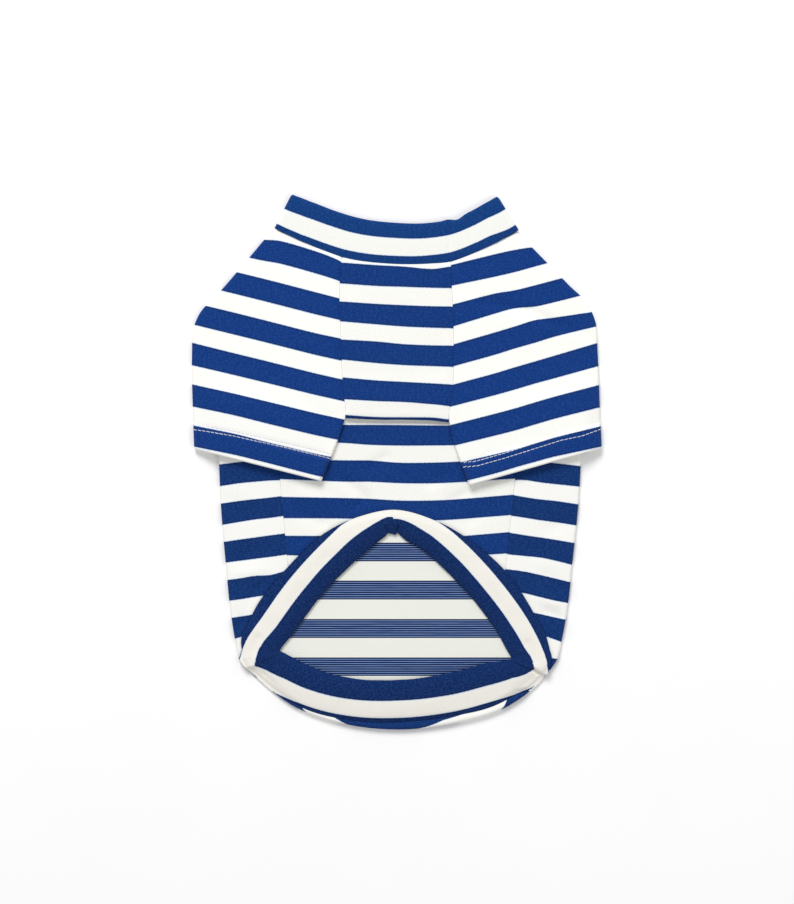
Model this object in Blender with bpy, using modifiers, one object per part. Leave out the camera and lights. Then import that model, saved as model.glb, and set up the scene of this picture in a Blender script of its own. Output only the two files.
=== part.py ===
# A knitted dog shirt laid flat on its back, belly side up.
# +Y runs toward the neck, +X to the right of someone looking down on it, +Z up off the table.
# All tables and sizes are in millimetres. Every cloth wall is lofted from its own sections.
# The origin is on the table, below the middle of the garment's outline.

import math

import bmesh
import bpy
import numpy
from mathutils import Vector

MM = 0.001

# The cloth and how its layers stack up from the table
CLOTH = 1.2
SEAM_GAP = 0.3
LAYER_GAP = 0.45
FOLD_RADIUS = 2.0
BODY_TOP = 2 * FOLD_RADIUS
SLEEVE_UNDER = BODY_TOP + SEAM_GAP
TUCK_TOP = BODY_TOP + 2 * (CLOTH + LAYER_GAP)
SLEEVE_GAP = TUCK_TOP - SLEEVE_UNDER - 2 * CLOTH
CUFF_HEM = 13.5
HEM_CLOTH = 2 * CLOTH
SLEEVE_EDGE_TOP = 3.6

# The collar: a doubled strip in a flattened ring
COLLAR_WALL = 2.3
COLLAR_TOP = 5.2

# The hem band: a doubled strip, a little puffed
BAND_WALL = 2.9
BAND_FRONT_LEVEL = 3.7
BAND_BACK_LEVEL = 3.0

# The tuck across the chest: its folded edge and how far it reaches up under itself
TUCK_EDGE_Y = 28.0
TUCK_DEEP_Y = 36.0
ARMHOLE_Y = 20.0
CHEST_HALF = 33.3
TUCK_HALF = 31.4

# How the sleeve drops off the body's side fold: where it lands and how wide the slope is
DROP_OUTSIDE = 7.0
DROP_WIDTH = 8.0
UPPER_DROP_OUTSIDE = 16.0
UPPER_DROP_WIDTH = 15.0
BACK_SEAM_OUTSIDE = 3.0

# How finely the walls are divided
CHEST_COLUMNS = 8
WING_COLUMNS = 5
BELLY_ROWS = 7
STRIP_COLUMNS = 3
SLEEVE_COLUMNS = 9
UNDER_BODY_COLUMNS = 10
COLLAR_STEPS = 18
SIDE_STEPS = 8
HEM_STEPS = 42
CUFF_SHARES = (0, 0.18, 0.36, 0.52, 0.6, 0.68, 0.84, 1)

# Collar stations, left end to right end: seam x, seam y, top edge x, top edge y
NECK = [
    (-75.0, 144.8, -65.8, 166.0),
    (-60.0, 137.8, -53.5, 162.2),
    (-44.5, 131.6, -38.5, 156.5),
    (-34.0, 127.8, -27.5, 153.0),
    (-2.0, 123.4, -1.0, 149.0),
    (21.0, 123.6, 20.0, 148.9),
    (33.7, 124.9, 33.0, 151.0),
    (48.5, 130.6, 45.5, 156.4),
    (62.5, 137.2, 58.0, 163.4),
    (75.5, 143.9, 62.9, 165.5),
]

# Sleeve stations, collar to cuff: inner edge x, inner edge y, outer fold x, outer fold y
SLEEVES = {
    "left": [
        (-34.0, 128.0, -77.0, 145.2),
        (-35.4, 107.0, -95.0, 123.5),
        (-35.0, 87.5, -110.0, 106.0),
        (-34.3, 71.0, -122.3, 92.7),
        (-33.9, 60.5, -126.3, 83.0),
        (-33.2, 46.5, -127.0, 69.5),
        (-31.9, TUCK_EDGE_Y, -127.0, 50.8),
        (-34.3, ARMHOLE_Y, -126.8, 43.0),
        (-46.5, -11.3, -125.6, 8.8),
    ],
    "right": [
        (33.7, 126.3, 75.0, 144.8),
        (34.3, 109.5, 91.0, 127.5),
        (35.2, 90.0, 106.5, 111.0),
        (35.5, 73.8, 118.9, 98.4),
        (35.5, 62.8, 123.4, 88.0),
        (34.7, 43.5, 124.8, 69.2),
        (32.5, TUCK_EDGE_Y, 125.6, 54.2),
        (33.7, ARMHOLE_Y, 125.8, 46.7),
        (44.8, -14.0, 127.3, 9.3),
    ],
}
TUCK_ROW = 6
ARMHOLE_ROW = 7
CUFF_ROW = 8

# Where the back raglan seam crosses a sleeve row, measured from the row's inner edge
BACK_SEAM_AT_NECK = 34.5
BACK_SEAM_AT_ARMHOLE = 77.5

# Height of the chest above the table: place along Y, height of its outer face
CHEST_HEIGHT = [
    (28.0, TUCK_TOP),
    (38.0, TUCK_TOP),
    (56.0, 6.2),
    (90.0, 5.6),
    (126.0, 5.1),
]

# The body's side folds: place along Y, left fold x, right fold x
SIDE_FOLDS = [
    (-65.0, -105.8, 108.8),
    (-44.0, -107.8, 111.2),
    (-22.0, -109.4, 113.3),
    (0.0, -110.2, 114.4),
    (45.0, -110.5, 114.0),
]

# The straight side seams: armhole end x, armhole end y
SIDE_SEAM_TOP = {"left": (-76.0, 30.3), "right": (78.0, 32.3)}

# Hem ring stations, clockwise from the arch's top: seam x, seam y, folded edge x, folded edge y
HEM = [
    (-2.0, -29.0, -1.5, -43.5),
    (23.5, -35.5, 16.0, -53.8),
    (47.0, -49.0, 33.0, -69.2),
    (67.5, -67.0, 47.4, -84.5),
    (84.5, -92.0, 62.5, -105.0),
    (93.6, -110.0, 69.0, -117.0),
    (95.0, -120.2, 71.2, -121.0),
    (88.6, -129.2, 69.5, -122.2),
    (64.0, -146.6, 55.0, -124.3),
    (33.0, -155.0, 29.0, -131.0),
    (2.0, -158.5, 1.5, -134.5),
    (-30.0, -157.2, -28.0, -133.5),
    (-60.5, -148.6, -51.0, -127.0),
    (-84.2, -130.8, -69.5, -118.8),
    (-94.4, -120.4, -71.5, -116.5),
    (-96.4, -111.5, -70.5, -114.5),
    (-89.5, -94.0, -65.0, -108.1),
    (-67.3, -64.5, -46.8, -82.6),
    (-46.0, -44.5, -31.0, -66.0),
    (-23.0, -33.2, -14.8, -51.7),
]

# The body's outline beside the hem ring, from its right foot round the back to its left foot
LOWER_OUTLINE = [
    (108.8, -65.0),
    (106.6, -87.0),
    (103.1, -107.5),
    (100.0, -121.4),
    (92.0, -132.6),
    (67.5, -152.0),
    (36.0, -161.6),
    (2.0, -165.5),
    (-31.0, -162.3),
    (-62.0, -152.0),
    (-86.3, -133.6),
    (-97.6, -121.8),
    (-99.8, -112.0),
    (-103.2, -91.0),
    (-105.8, -65.0),
]
RIGHT_FOOT = 3
LEFT_FOOT = 17
HEM_ROUND = len(HEM)
FOOT_TO_CHEST = 1.55
BACK_ARC = (7.5, 12.8)

WHITE_KNIT = (0.86, 0.86, 0.85, 1.0)
BLUE_KNIT = (0.02, 0.05, 0.20, 1.0)


def mix(start, end, share):
    return start + (end - start) * share


def ease(share):
    share = min(1.0, max(0.0, share))
    return share * share * (3 - 2 * share)


def track(rows, closed=False):
    """A smooth curve through table rows, read at a row number with a fraction."""
    points = [numpy.array(row, float) for row in rows]
    if closed:
        points = points + points[:1]
    steps = [max(1e-6, float(numpy.linalg.norm(b[:4] - a[:4]))) for a, b in zip(points, points[1:])]
    count = len(points)

    def slope(index):
        before = index - 1
        after = index
        if closed:
            before = before % len(steps)
            after = after % len(steps)
        elif index == 0:
            return (points[1] - points[0]) / steps[0]
        elif index == count - 1:
            return (points[-1] - points[-2]) / steps[-1]
        arriving = (points[before + 1] - points[before]) / steps[before]
        leaving = (points[after + 1] - points[after]) / steps[after]
        return (arriving * steps[after] + leaving * steps[before]) / (steps[before] + steps[after])

    def read(place):
        if closed:
            place = place % len(steps)
        index = min(int(place), len(steps) - 1)
        part = place - index
        length = steps[index]
        start_weight = (1 + 2 * part) * (1 - part) ** 2
        end_weight = part * part * (3 - 2 * part)
        return (points[index] * start_weight
                + slope(index) * length * part * (1 - part) ** 2
                + points[index + 1] * end_weight
                + slope(index + 1) * length * part * part * (part - 1))

    return read


neck_at = track(NECK)
hem_at = track(HEM, closed=True)
lower_outline_at = track(LOWER_OUTLINE)
sleeve_at = {side: track(rows) for side, rows in SLEEVES.items()}


def steps_between(start, end, count):
    return [mix(start, end, index / count) for index in range(count + 1)]


YOKE_ROWS = steps_between(0, TUCK_ROW, 12) + [TUCK_ROW + 0.5]
NECK_LINE = [neck_at(place)[:2] for place in steps_between(0, len(NECK) - 1, 90)]
NECK_LINE_X = [point[0] for point in NECK_LINE]
NECK_LINE_Y = [point[1] for point in NECK_LINE]


def neck_seam_y(x):
    return float(numpy.interp(x, NECK_LINE_X, NECK_LINE_Y))


def chest_height(y):
    return float(numpy.interp(y, [row[0] for row in CHEST_HEIGHT], [row[1] for row in CHEST_HEIGHT]))


def side_fold_x(side, y):
    column = 1 if side == "left" else 2
    return float(numpy.interp(y, [row[0] for row in SIDE_FOLDS], [row[column] for row in SIDE_FOLDS]))


def armhole_y(side, x):
    """The lower armhole seam on the belly side runs along the sleeve's row there."""
    inner_x, inner_y, outer_x, outer_y = SLEEVES[side][ARMHOLE_ROW]
    if abs(x) < abs(inner_x):
        return inner_y
    return mix(inner_y, outer_y, (x - inner_x) / (outer_x - inner_x))


def near_neck(x, y, row):
    """Bends the straight sleeve and chest rows next to the collar to its curved seam."""
    if row >= 2:
        return y
    left = SLEEVES["left"][0]
    right = SLEEVES["right"][0]
    chord_x = [left[2], left[0], right[0], right[2]]
    chord_y = [left[3], left[1], right[1], right[3]]
    chord = float(numpy.interp(x, chord_x, chord_y))
    return y + (neck_seam_y(x) - SEAM_GAP - chord) * (1 - ease(row / 2))


def sleeve_line(side, row):
    inner_x, inner_y, outer_x, outer_y = sleeve_at[side](row)[:4]
    inner = Vector((inner_x, inner_y))
    outer = Vector((outer_x, outer_y))
    return inner, outer, (outer - inner).length


def sleeve_cloth(side, row):
    """One layer, or the turned-up double layer within the cuff's hem."""
    if row <= ARMHOLE_ROW:
        return CLOTH
    inner, outer, _ = sleeve_line(side, row)
    cuff_inner, cuff_outer, _ = sleeve_line(side, CUFF_ROW)
    from_cuff = ((cuff_inner - inner).length + (cuff_outer - outer).length) / 2
    return mix(HEM_CLOTH, CLOTH, ease((from_cuff - CUFF_HEM) / 2))


def inside_fold(side, point):
    """How far a point lies inside the body's side fold. It is negative beyond the fold."""
    fold = side_fold_x(side, point.y)
    return point.x - fold if side == "left" else fold - point.x


def back_seam_place(row):
    return mix(BACK_SEAM_AT_NECK, BACK_SEAM_AT_ARMHOLE, row / ARMHOLE_ROW)


def place_along(side, row, inside):
    """Where a row crosses the line that lies this far inside the body's side fold."""
    inner, outer, width = sleeve_line(side, row)
    start = inside_fold(side, inner)
    end = inside_fold(side, outer)
    return width * (start - inside) / (start - end)


def sleeve_under(side, row, point):
    if row < ARMHOLE_ROW:
        return 0.0
    return SLEEVE_UNDER * ease((inside_fold(side, point) + DROP_OUTSIDE) / DROP_WIDTH)


def sleeve_top(side, row, point, share):
    """Height of the upper layer: chest height in the yoke, and over the body near the armhole."""
    stack = 2 * sleeve_cloth(side, row) + SLEEVE_GAP
    over_body = mix(max(stack, SLEEVE_EDGE_TOP), SLEEVE_UNDER + stack,
                    ease((inside_fold(side, point) + UPPER_DROP_OUTSIDE) / UPPER_DROP_WIDTH))
    yoke = mix(chest_height(sleeve_line(side, row)[0].y), SLEEVE_EDGE_TOP, share)
    return mix(yoke, over_body, ease((row - ARMHOLE_ROW + 2) / 2))


def round_end(distance, radius):
    """The share of its half height that a flattened tube has this far from its folded end."""
    if distance >= radius:
        return 1.0
    return math.sqrt(max(0.0, 1 - (1 - distance / radius) ** 2))


def sleeve_section(side, row):
    """Points round one sleeve row: the upper layer outward, the fold, then the under layer."""
    inner, outer, width = sleeve_line(side, row)
    direction = (outer - inner) / width
    end_radius = sleeve_top(side, row, outer, 1.0) / 2
    stack = 2 * sleeve_cloth(side, row) + SLEEVE_GAP
    closed = row >= ARMHOLE_ROW
    rolled = ease(row - TUCK_ROW)
    roll_radius = stack / 2
    roll = [0.0, 0.29 * roll_radius, roll_radius]
    turn = [width - end_radius * part for part in (1.0, 0.5, 0.13)]
    upper = roll + steps_between(roll_radius, turn[0], SLEEVE_COLUMNS)[1:-1] + turn + [width]
    if closed:
        seam = place_along(side, row, -BACK_SEAM_OUTSIDE)
        drop = [place_along(side, row, inside) for inside in (-1.0, 1.0)]
        tail = drop + steps_between(drop[-1], roll_radius, UNDER_BODY_COLUMNS - 4)[1:-1] + roll[::-1]
    else:
        seam = back_seam_place(row)
        tail = []
    lower = turn[::-1] + steps_between(turn[0], seam, 3)[1:] + tail

    def at(place, upward):
        flat = inner + direction * place
        flat.y = near_neck(flat.x, flat.y, row)
        top = sleeve_top(side, row, flat, place / width)
        bottom = sleeve_under(side, row, flat)
        middle = (top + bottom) / 2
        half = (top - bottom) / 2
        shape = round_end(width - place, end_radius)
        shape *= mix(1.0, round_end(place, roll_radius), rolled)
        return Vector((flat.x, flat.y, middle + (half if upward else -half) * shape))

    points = [at(place, True) for place in upper] + [at(place, False) for place in lower]
    return points + [None] * (0 if closed else UNDER_BODY_COLUMNS)


def cloth_object(name, colour, sections, faces_up=True, flat_outline=None, hem_rows=None):
    """A cloth wall: an open surface through the sections, with its thickness on the inner side."""
    mesh = bmesh.new()
    weights = mesh.verts.layers.deform.verify() if hem_rows else None
    grid = []
    for number, section in enumerate(sections):
        line = []
        for point in section:
            vertex = mesh.verts.new(Vector(point) * MM) if point is not None else None
            if vertex is not None and hem_rows:
                vertex[weights][0] = hem_rows[number]
            line.append(vertex)
        grid.append(line)
    for line, after in zip(grid, grid[1:]):
        for index in range(len(line) - 1):
            corners = [line[index], line[index + 1], after[index + 1], after[index]]
            if None not in corners:
                mesh.faces.new(corners if faces_up else corners[::-1])
    if flat_outline:
        mesh.faces.new([mesh.verts.new(Vector(point) * MM) for point in flat_outline])
    bmesh.ops.remove_doubles(mesh, verts=mesh.verts, dist=0.05 * MM)
    piece = bpy.data.objects.new(name, bpy.data.meshes.new(name))
    mesh.to_mesh(piece.data)
    mesh.free()
    piece.data.shade_smooth()
    solid = piece.modifiers.new("wall", "SOLIDIFY")
    solid.thickness = CLOTH * MM
    solid.offset = -1
    if hem_rows:
        piece.vertex_groups.new(name="hem")
        solid.vertex_group = "hem"
        solid.thickness = HEM_CLOTH * MM
        solid.thickness_vertex_group = CLOTH / HEM_CLOTH
    finish(piece, colour)
    return piece


def ring_object(name, colour, sections):
    """A closed ring lofted through closed sections, such as a strip folded double."""
    mesh = bmesh.new()
    rings = [[mesh.verts.new(Vector(point) * MM) for point in section] for section in sections]
    for ring, after in zip(rings, rings[1:] + rings[:1]):
        for index in range(len(ring)):
            following = (index + 1) % len(ring)
            mesh.faces.new([ring[index], ring[following], after[following], after[index]])
    bmesh.ops.recalc_face_normals(mesh, faces=mesh.faces)
    piece = bpy.data.objects.new(name, bpy.data.meshes.new(name))
    mesh.to_mesh(piece.data)
    mesh.free()
    piece.data.shade_smooth()
    finish(piece, colour)
    return piece


def finish(piece, colour):
    material = bpy.data.materials.new(piece.name + "_knit")
    material.use_nodes = True
    shader = material.node_tree.nodes["Principled BSDF"]
    shader.inputs["Base Color"].default_value = colour
    shader.inputs["Roughness"].default_value = 0.9
    shader.inputs["Metallic"].default_value = 0.0
    piece.data.materials.append(material)
    garment.objects.link(piece)


def folded_strip_section(seam, fold, normal, wall):
    """A strip folded double, cut across: flat at its seam edge, round at its folded edge."""
    half = wall / 2
    run = (fold - seam).normalized()
    centre = fold - run * half
    points = [seam + normal * half, mix(seam, centre, 0.5) + normal * half]
    for angle in (90, 45, 0, -45, -90):
        turn = math.radians(angle)
        points.append(centre + (normal * math.sin(turn) + run * math.cos(turn)) * half)
    points.append(mix(seam, centre, 0.5) - normal * half)
    points.append(seam - normal * half)
    return points


def make_neck_band():
    half_wall = COLLAR_WALL / 2
    bend = COLLAR_TOP / 2 - half_wall
    last = len(NECK) - 1
    stations = [(place, 90) for place in steps_between(0, last, COLLAR_STEPS)]
    stations += [(last, angle) for angle in (45, 0, -45)]
    stations += [(last - place, -90) for place in steps_between(0, last, COLLAR_STEPS)]
    stations += [(0, angle) for angle in (-135, 180, 135)]
    sections = []
    for place, angle in stations:
        seam_x, seam_y, top_x, top_y = neck_at(place)[:4]
        inset = COLLAR_TOP / 2
        at_left = mix(inset, 0, min(1, place))
        at_right = mix(inset, 0, min(1, last - place))
        shift = at_left - at_right
        seam = Vector((seam_x + shift, seam_y, COLLAR_TOP / 2))
        top = Vector((top_x + shift, top_y, COLLAR_TOP / 2))
        side = Vector((top.y - seam.y, seam.x - top.x, 0)).normalized()
        turn = math.radians(angle)
        normal = Vector((0, 0, 1)) * math.sin(turn) + side * math.cos(turn)
        sections.append(folded_strip_section(seam + normal * bend, top + normal * bend, normal, COLLAR_WALL))
    return ring_object("neck_band", BLUE_KNIT, sections)


def hem_seam(place, toward_band):
    """A point of the seam round the hem, moved by half the seam's gap toward or off the band."""
    seam_x, seam_y, fold_x, fold_y = hem_at(place)[:4]
    seam = Vector((seam_x, seam_y))
    run = (Vector((fold_x, fold_y)) - seam).normalized()
    return seam + run * (SEAM_GAP / 2 if toward_band else -SEAM_GAP / 2)


def make_hem_band():
    sections = []
    for place in steps_between(0, HEM_ROUND, 3 * HEM_ROUND)[:-1]:
        fold_x, fold_y = hem_at(place)[2:4]
        start, end = BACK_ARC
        on_back = ease(place - start + 1) * ease(end + 1 - place)
        level = mix(BAND_FRONT_LEVEL, BAND_BACK_LEVEL, on_back)
        seam = hem_seam(place, True)
        seam = Vector((seam.x, seam.y, level))
        fold = Vector((fold_x, fold_y, level))
        sections.append(folded_strip_section(seam, fold, Vector((0, 0, 1)), BAND_WALL))
    return ring_object("hem_band", BLUE_KNIT, sections)


def make_sleeve(side):
    rows = YOKE_ROWS + [mix(ARMHOLE_ROW, CUFF_ROW, share) for share in CUFF_SHARES]
    sections = [sleeve_section(side, row) for row in rows]
    doubled = [(sleeve_cloth(side, row) - CLOTH) / (HEM_CLOTH - CLOTH) for row in rows]
    return cloth_object("sleeve_" + side, WHITE_KNIT, sections, faces_up=side == "left", hem_rows=doubled)


def side_seam(side, share):
    top = Vector(SIDE_SEAM_TOP[side])
    foot = LEFT_FOOT if side == "left" else RIGHT_FOOT
    return mix(top, Vector(hem_at(foot)[:2]), share)


def body_station(outline, seam):
    """The body's back layer turned round its fold to the belly side, as far as a seam."""
    width = (outline - seam).length
    run = (outline - seam) / width
    points = []
    for place in steps_between(0, width - FOLD_RADIUS, STRIP_COLUMNS):
        points.append((seam + run * place, BODY_TOP))
    for angle in (60, 30, 0, -30, -60, -90):
        turn = math.radians(angle)
        place = width - FOLD_RADIUS + FOLD_RADIUS * math.cos(turn)
        points.append((seam + run * place, FOLD_RADIUS + FOLD_RADIUS * math.sin(turn)))
    points.append((seam + run * (width - FOLD_RADIUS - 4), 0.0))
    return [Vector((flat.x, flat.y, height)) for flat, height in points]


def side_stations(side):
    stations = []
    gap = SEAM_GAP / 2 if side == "right" else -SEAM_GAP / 2
    fold_top = armhole_y(side, side_fold_x(side, 40))
    foot_y = LOWER_OUTLINE[-1 if side == "left" else 0][1]
    for share in steps_between(0, 1, SIDE_STEPS)[:-1]:
        fold_y = mix(fold_top, foot_y, share)
        outline = Vector((side_fold_x(side, fold_y), fold_y))
        seam = side_seam(side, share) + Vector((gap, 0))
        stations.append(body_station(outline, seam))
    return stations


def back_raglan(side):
    """The back panel's edge along the back raglan seam, from the armhole up to the collar."""
    points = []
    for row in YOKE_ROWS[::-1]:
        inner, outer, width = sleeve_line(side, row)
        flat = inner + (outer - inner) / width * (back_seam_place(row) - 1.5 * SEAM_GAP)
        points.append(Vector((flat.x, near_neck(flat.x, flat.y, row), 0.0)))
    return points


def make_back_panel():
    stations = side_stations("left")
    for place in steps_between(LEFT_FOOT, RIGHT_FOOT, HEM_STEPS):
        outline = Vector(lower_outline_at(place - RIGHT_FOOT))
        stations.append(body_station(outline, hem_seam(place, False)))
    stations += side_stations("right")[::-1]
    left_edge = back_raglan("left")
    right_edge = back_raglan("right")
    neck = [Vector((x, neck_seam_y(x) - SEAM_GAP, 0.0))
            for x in steps_between(right_edge[-1].x, left_edge[-1].x, 12)[1:-1]]
    outline = [station[-1] for station in stations]
    outline += [stations[-1][-2]] + right_edge + neck + left_edge[::-1] + [stations[0][-2]]
    return cloth_object("back_panel", WHITE_KNIT, stations, flat_outline=outline[::-1])


def chest_columns(row):
    left = sleeve_at["left"](row)[:2]
    right = sleeve_at["right"](row)[:2]
    points = []
    for share in steps_between(0, 1, CHEST_COLUMNS):
        x = mix(left[0] + SEAM_GAP, right[0] - SEAM_GAP, share)
        y = mix(left[1], right[1], share)
        points.append((x, near_neck(x, y, row)))
    return points


def arch_seam_points():
    """The belly panel's lower edge: one point for each column, left side seam to right."""
    start = LEFT_FOOT
    end = HEM_ROUND + RIGHT_FOOT
    chest_start = start + FOOT_TO_CHEST
    chest_end = end - FOOT_TO_CHEST
    places = steps_between(start, chest_start, WING_COLUMNS)[:-1]
    places += steps_between(chest_start, chest_end, CHEST_COLUMNS)
    places += steps_between(chest_end, end, WING_COLUMNS)[1:]
    points = [hem_seam(place, False) for place in places]
    points[0] += Vector((SEAM_GAP / 2, SEAM_GAP / 2))
    points[-1] += Vector((-SEAM_GAP / 2, SEAM_GAP / 2))
    return points


def armhole_seam_points():
    """The belly panel's upper edge, under both sleeves and across the chest."""
    left = SIDE_SEAM_TOP["left"][0] + SEAM_GAP / 2
    right = SIDE_SEAM_TOP["right"][0] - SEAM_GAP / 2
    wing = steps_between(left, -CHEST_HALF, WING_COLUMNS)[:-1]
    points = [Vector((x, armhole_y("left", x))) for x in wing]
    points += [Vector((x, ARMHOLE_Y)) for x in steps_between(-CHEST_HALF, CHEST_HALF, CHEST_COLUMNS)]
    wing = steps_between(CHEST_HALF, right, WING_COLUMNS)[1:]
    return points + [Vector((x, armhole_y("right", x))) for x in wing]


def tuck_path():
    """The tuck seen from the side: place along Y and height of the cloth's outer face."""
    small = LAYER_GAP / 2
    large = CLOTH + small
    deep = TUCK_DEEP_Y - large
    edge = TUCK_EDGE_Y + large
    path = [
        (TUCK_EDGE_Y, BODY_TOP),
        (deep, BODY_TOP),
        (deep + small, BODY_TOP + small),
        (deep, BODY_TOP + LAYER_GAP),
        (edge, BODY_TOP + LAYER_GAP),
    ]
    for angle in (-45, 0, 45, 90):
        turn = math.radians(angle)
        path.append((edge - large * math.cos(turn), TUCK_TOP - large + large * math.sin(turn)))
    return path


def make_belly_panel():
    sections = []
    for share in steps_between(0, 1, BELLY_ROWS):
        row = [mix(start, end, share) for start, end in zip(arch_seam_points(), armhole_seam_points())]
        sections.append([Vector((point.x, point.y, BODY_TOP)) for point in row])

    no_wing = [None] * WING_COLUMNS
    across = steps_between(-TUCK_HALF, TUCK_HALF, CHEST_COLUMNS)
    for y, height in tuck_path():
        sections.append(no_wing + [Vector((x, y, height)) for x in across] + no_wing)
    for row in [TUCK_ROW - 0.5] + steps_between(TUCK_ROW - 1, 0, 2 * (TUCK_ROW - 1)):
        chest = [Vector((x, y, chest_height(y))) for x, y in chest_columns(row)]
        sections.append(no_wing + chest + no_wing)
    return cloth_object("belly_panel", WHITE_KNIT, sections)


for old in list(bpy.data.objects):
    bpy.data.objects.remove(old, do_unlink=True)
garment = bpy.data.collections.new("dog_shirt")
bpy.context.scene.collection.children.link(garment)

make_neck_band()
make_back_panel()
make_belly_panel()
make_sleeve("left")
make_sleeve("right")
make_hem_band()
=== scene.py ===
import bpy
import bmesh
import math
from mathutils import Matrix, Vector, noise


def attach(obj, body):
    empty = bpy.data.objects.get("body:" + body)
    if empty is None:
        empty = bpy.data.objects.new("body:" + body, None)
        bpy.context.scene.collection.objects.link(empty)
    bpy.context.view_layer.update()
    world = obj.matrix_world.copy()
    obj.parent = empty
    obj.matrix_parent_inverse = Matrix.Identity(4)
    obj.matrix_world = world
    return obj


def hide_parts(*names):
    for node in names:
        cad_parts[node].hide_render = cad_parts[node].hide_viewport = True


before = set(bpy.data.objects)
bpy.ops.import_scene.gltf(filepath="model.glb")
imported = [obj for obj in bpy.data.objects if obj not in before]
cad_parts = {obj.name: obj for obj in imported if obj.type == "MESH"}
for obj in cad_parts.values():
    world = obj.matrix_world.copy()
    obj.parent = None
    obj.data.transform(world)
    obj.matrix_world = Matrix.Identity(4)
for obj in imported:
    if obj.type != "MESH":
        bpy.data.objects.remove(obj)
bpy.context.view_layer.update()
print("frame loaded, dressing the dog shirt")

# Sizes are in millimetres until a mesh is made, in the frame's own axes.
# +Y runs to the neck, +Z up off the table, and the shirt lies on its back, belly side up.
mm = 0.001

photo = {
    "scale": 0.62,           # millimetres a pixel
    "middleX": 396.5,        # the pixel of the origin
    "middleY": 463.0,
    "rowMiddle": 0.45,       # the stripes' rows were read at the middle of each pixel
}

cloth = {
    "layer": 1.2,            # one layer of cotton jersey
    "seamGap": 0.1,
    "clearance": 0.3,        # between the body and the sleeve that lies on it
    "layerGap": 0.45,
    "foldRadius": 2.0,
    "repeat": 24.0,          # one blue and one white stripe
    "blueShare": 0.53,
    "seamEdge": 0.7,         # a layer pinched by its seam
    "pinched": 1.5,          # how far from its seam it has its own thickness again
    "dentWidth": 1.3,        # half width of the dent along a seam
    "calmWidth": 6,
    "thinnest": 0.1,         # a layer's least thickness, as a share of the piece's thickest
}
bodyTop = 2 * cloth["foldRadius"]
sleeveUnderTop = bodyTop + cloth["clearance"]
tuckTop = bodyTop + 2 * (cloth["layer"] + cloth["layerGap"])
sleeveGap = tuckTop - sleeveUnderTop - 2 * cloth["layer"]


def mix(start, end, share):
    return start + (end - start) * share


def ease(share):
    share = min(1.0, max(0.0, share))
    return share * share * (3 - 2 * share)


def ramp(value, start, end):
    return ease((value - start) / (end - start))


def bell(distance, width):
    return math.exp(-(distance / width) ** 2)


def stepsBetween(start, end, count):
    return [mix(start, end, index / count) for index in range(count + 1)]


def readTable(table, place, column=1):
    if place <= table[0][0]:
        return table[0][column]
    for before, after in zip(table, table[1:]):
        if place <= after[0]:
            share = (place - before[0]) / (after[0] - before[0])
            return mix(before[column], after[column], share)
    return table[-1][column]


def between(ends, slopes, length, t):
    # a smooth curve from one end to the other that leaves and arrives with the slopes given
    return (ends[0] * ((1 + 2 * t) * (1 - t) ** 2) + slopes[0] * (length * t * (1 - t) ** 2)
            + ends[1] * (t * t * (3 - 2 * t)) + slopes[1] * (length * t * t * (t - 1)))


def smoothTrack(rows, closed=False):
    # a smooth curve through table rows, read at a row number with a fraction
    points = [Vector(row) for row in rows]
    if closed:
        points.append(points[0])
    steps = [max(1e-6, (b - a).length) for a, b in zip(points, points[1:])]
    last = len(points) - 1
    slopes = []
    for index in range(len(points)):
        before = (index - 1) % len(steps)
        after = index % len(steps)
        leaving = (points[after + 1] - points[after]) / steps[after]
        arriving = (points[before + 1] - points[before]) / steps[before]
        if not closed and index == 0:
            arriving = leaving
        if not closed and index == last:
            leaving = arriving
        slope = arriving * steps[after] + leaving * steps[before]
        slopes.append(slope / (steps[before] + steps[after]))

    def read(place):
        if closed:
            place = place % len(steps)
        index = min(int(place), len(steps) - 1)
        ends = points[index], points[index + 1]
        return between(ends, slopes[index:index + 2], steps[index], place - index)

    return read


def curveRead(places, values, place):
    # a smooth curve through values at uneven places
    last = len(places) - 1
    index = 0
    while index < last - 1 and place > places[index + 1]:
        index += 1

    def slope(at):
        before, after = max(0, at - 1), min(last, at + 1)
        return (values[after] - values[before]) / (places[after] - places[before])

    length = places[index + 1] - places[index]
    t = (place - places[index]) / length
    if t < 0:
        return values[0] + slope(0) * (place - places[0])
    if t > 1:
        return values[last] + slope(last) * (place - places[last])
    return between(values[index:index + 2], (slope(index), slope(index + 1)), length, t)


def stripeAt(lines, x, y):
    # stripes from their edges: photo x of the columns, then rows of a count and its photo y there
    px, py = toPhoto(x, y)
    py -= photo["rowMiddle"]
    columns = lines[0]
    previous = None
    for row in lines[1:]:
        current = (row[0], curveRead(columns, row[1:], px))
        if previous and (py <= current[1] or row is lines[-1]):
            return mix(previous[0], current[0], (py - previous[1]) / (current[1] - previous[1]))
        previous = current


def toPhoto(x, y):
    return x / photo["scale"] + photo["middleX"], photo["middleY"] - y / photo["scale"]


def ripple(x, y, wave):
    # low soft waves: their height, their length and a number that sets them apart
    height, length, seed = wave
    return height * noise.noise(Vector((x / length, y / length, seed)))


def dent(depth, distance):
    return depth * bell(distance, cloth["dentWidth"])


def calm(distance, width=cloth["calmWidth"]):
    # waves and creases die down toward a seam
    return ease(distance / width)


def pinchedLayer(fromSeam, layer=cloth["layer"]):
    return mix(cloth["seamEdge"], layer, ease(fromSeam / cloth["pinched"]))


def troughs(rows, x, y):
    # soft creases given one by one: photo start x, y, end x, y, half width, height in millimetres
    px, py = toPhoto(x, y)
    total = 0.0
    for startX, startY, endX, endY, halfWidth, depth in rows:
        run = Vector((endX - startX, endY - startY))
        offset = Vector((px - startX, py - startY))
        along = offset.dot(run) / run.length_squared
        nearest = run * min(1.0, max(0.0, along))
        total += depth * bell((offset - nearest).length, halfWidth)
    return total


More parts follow.
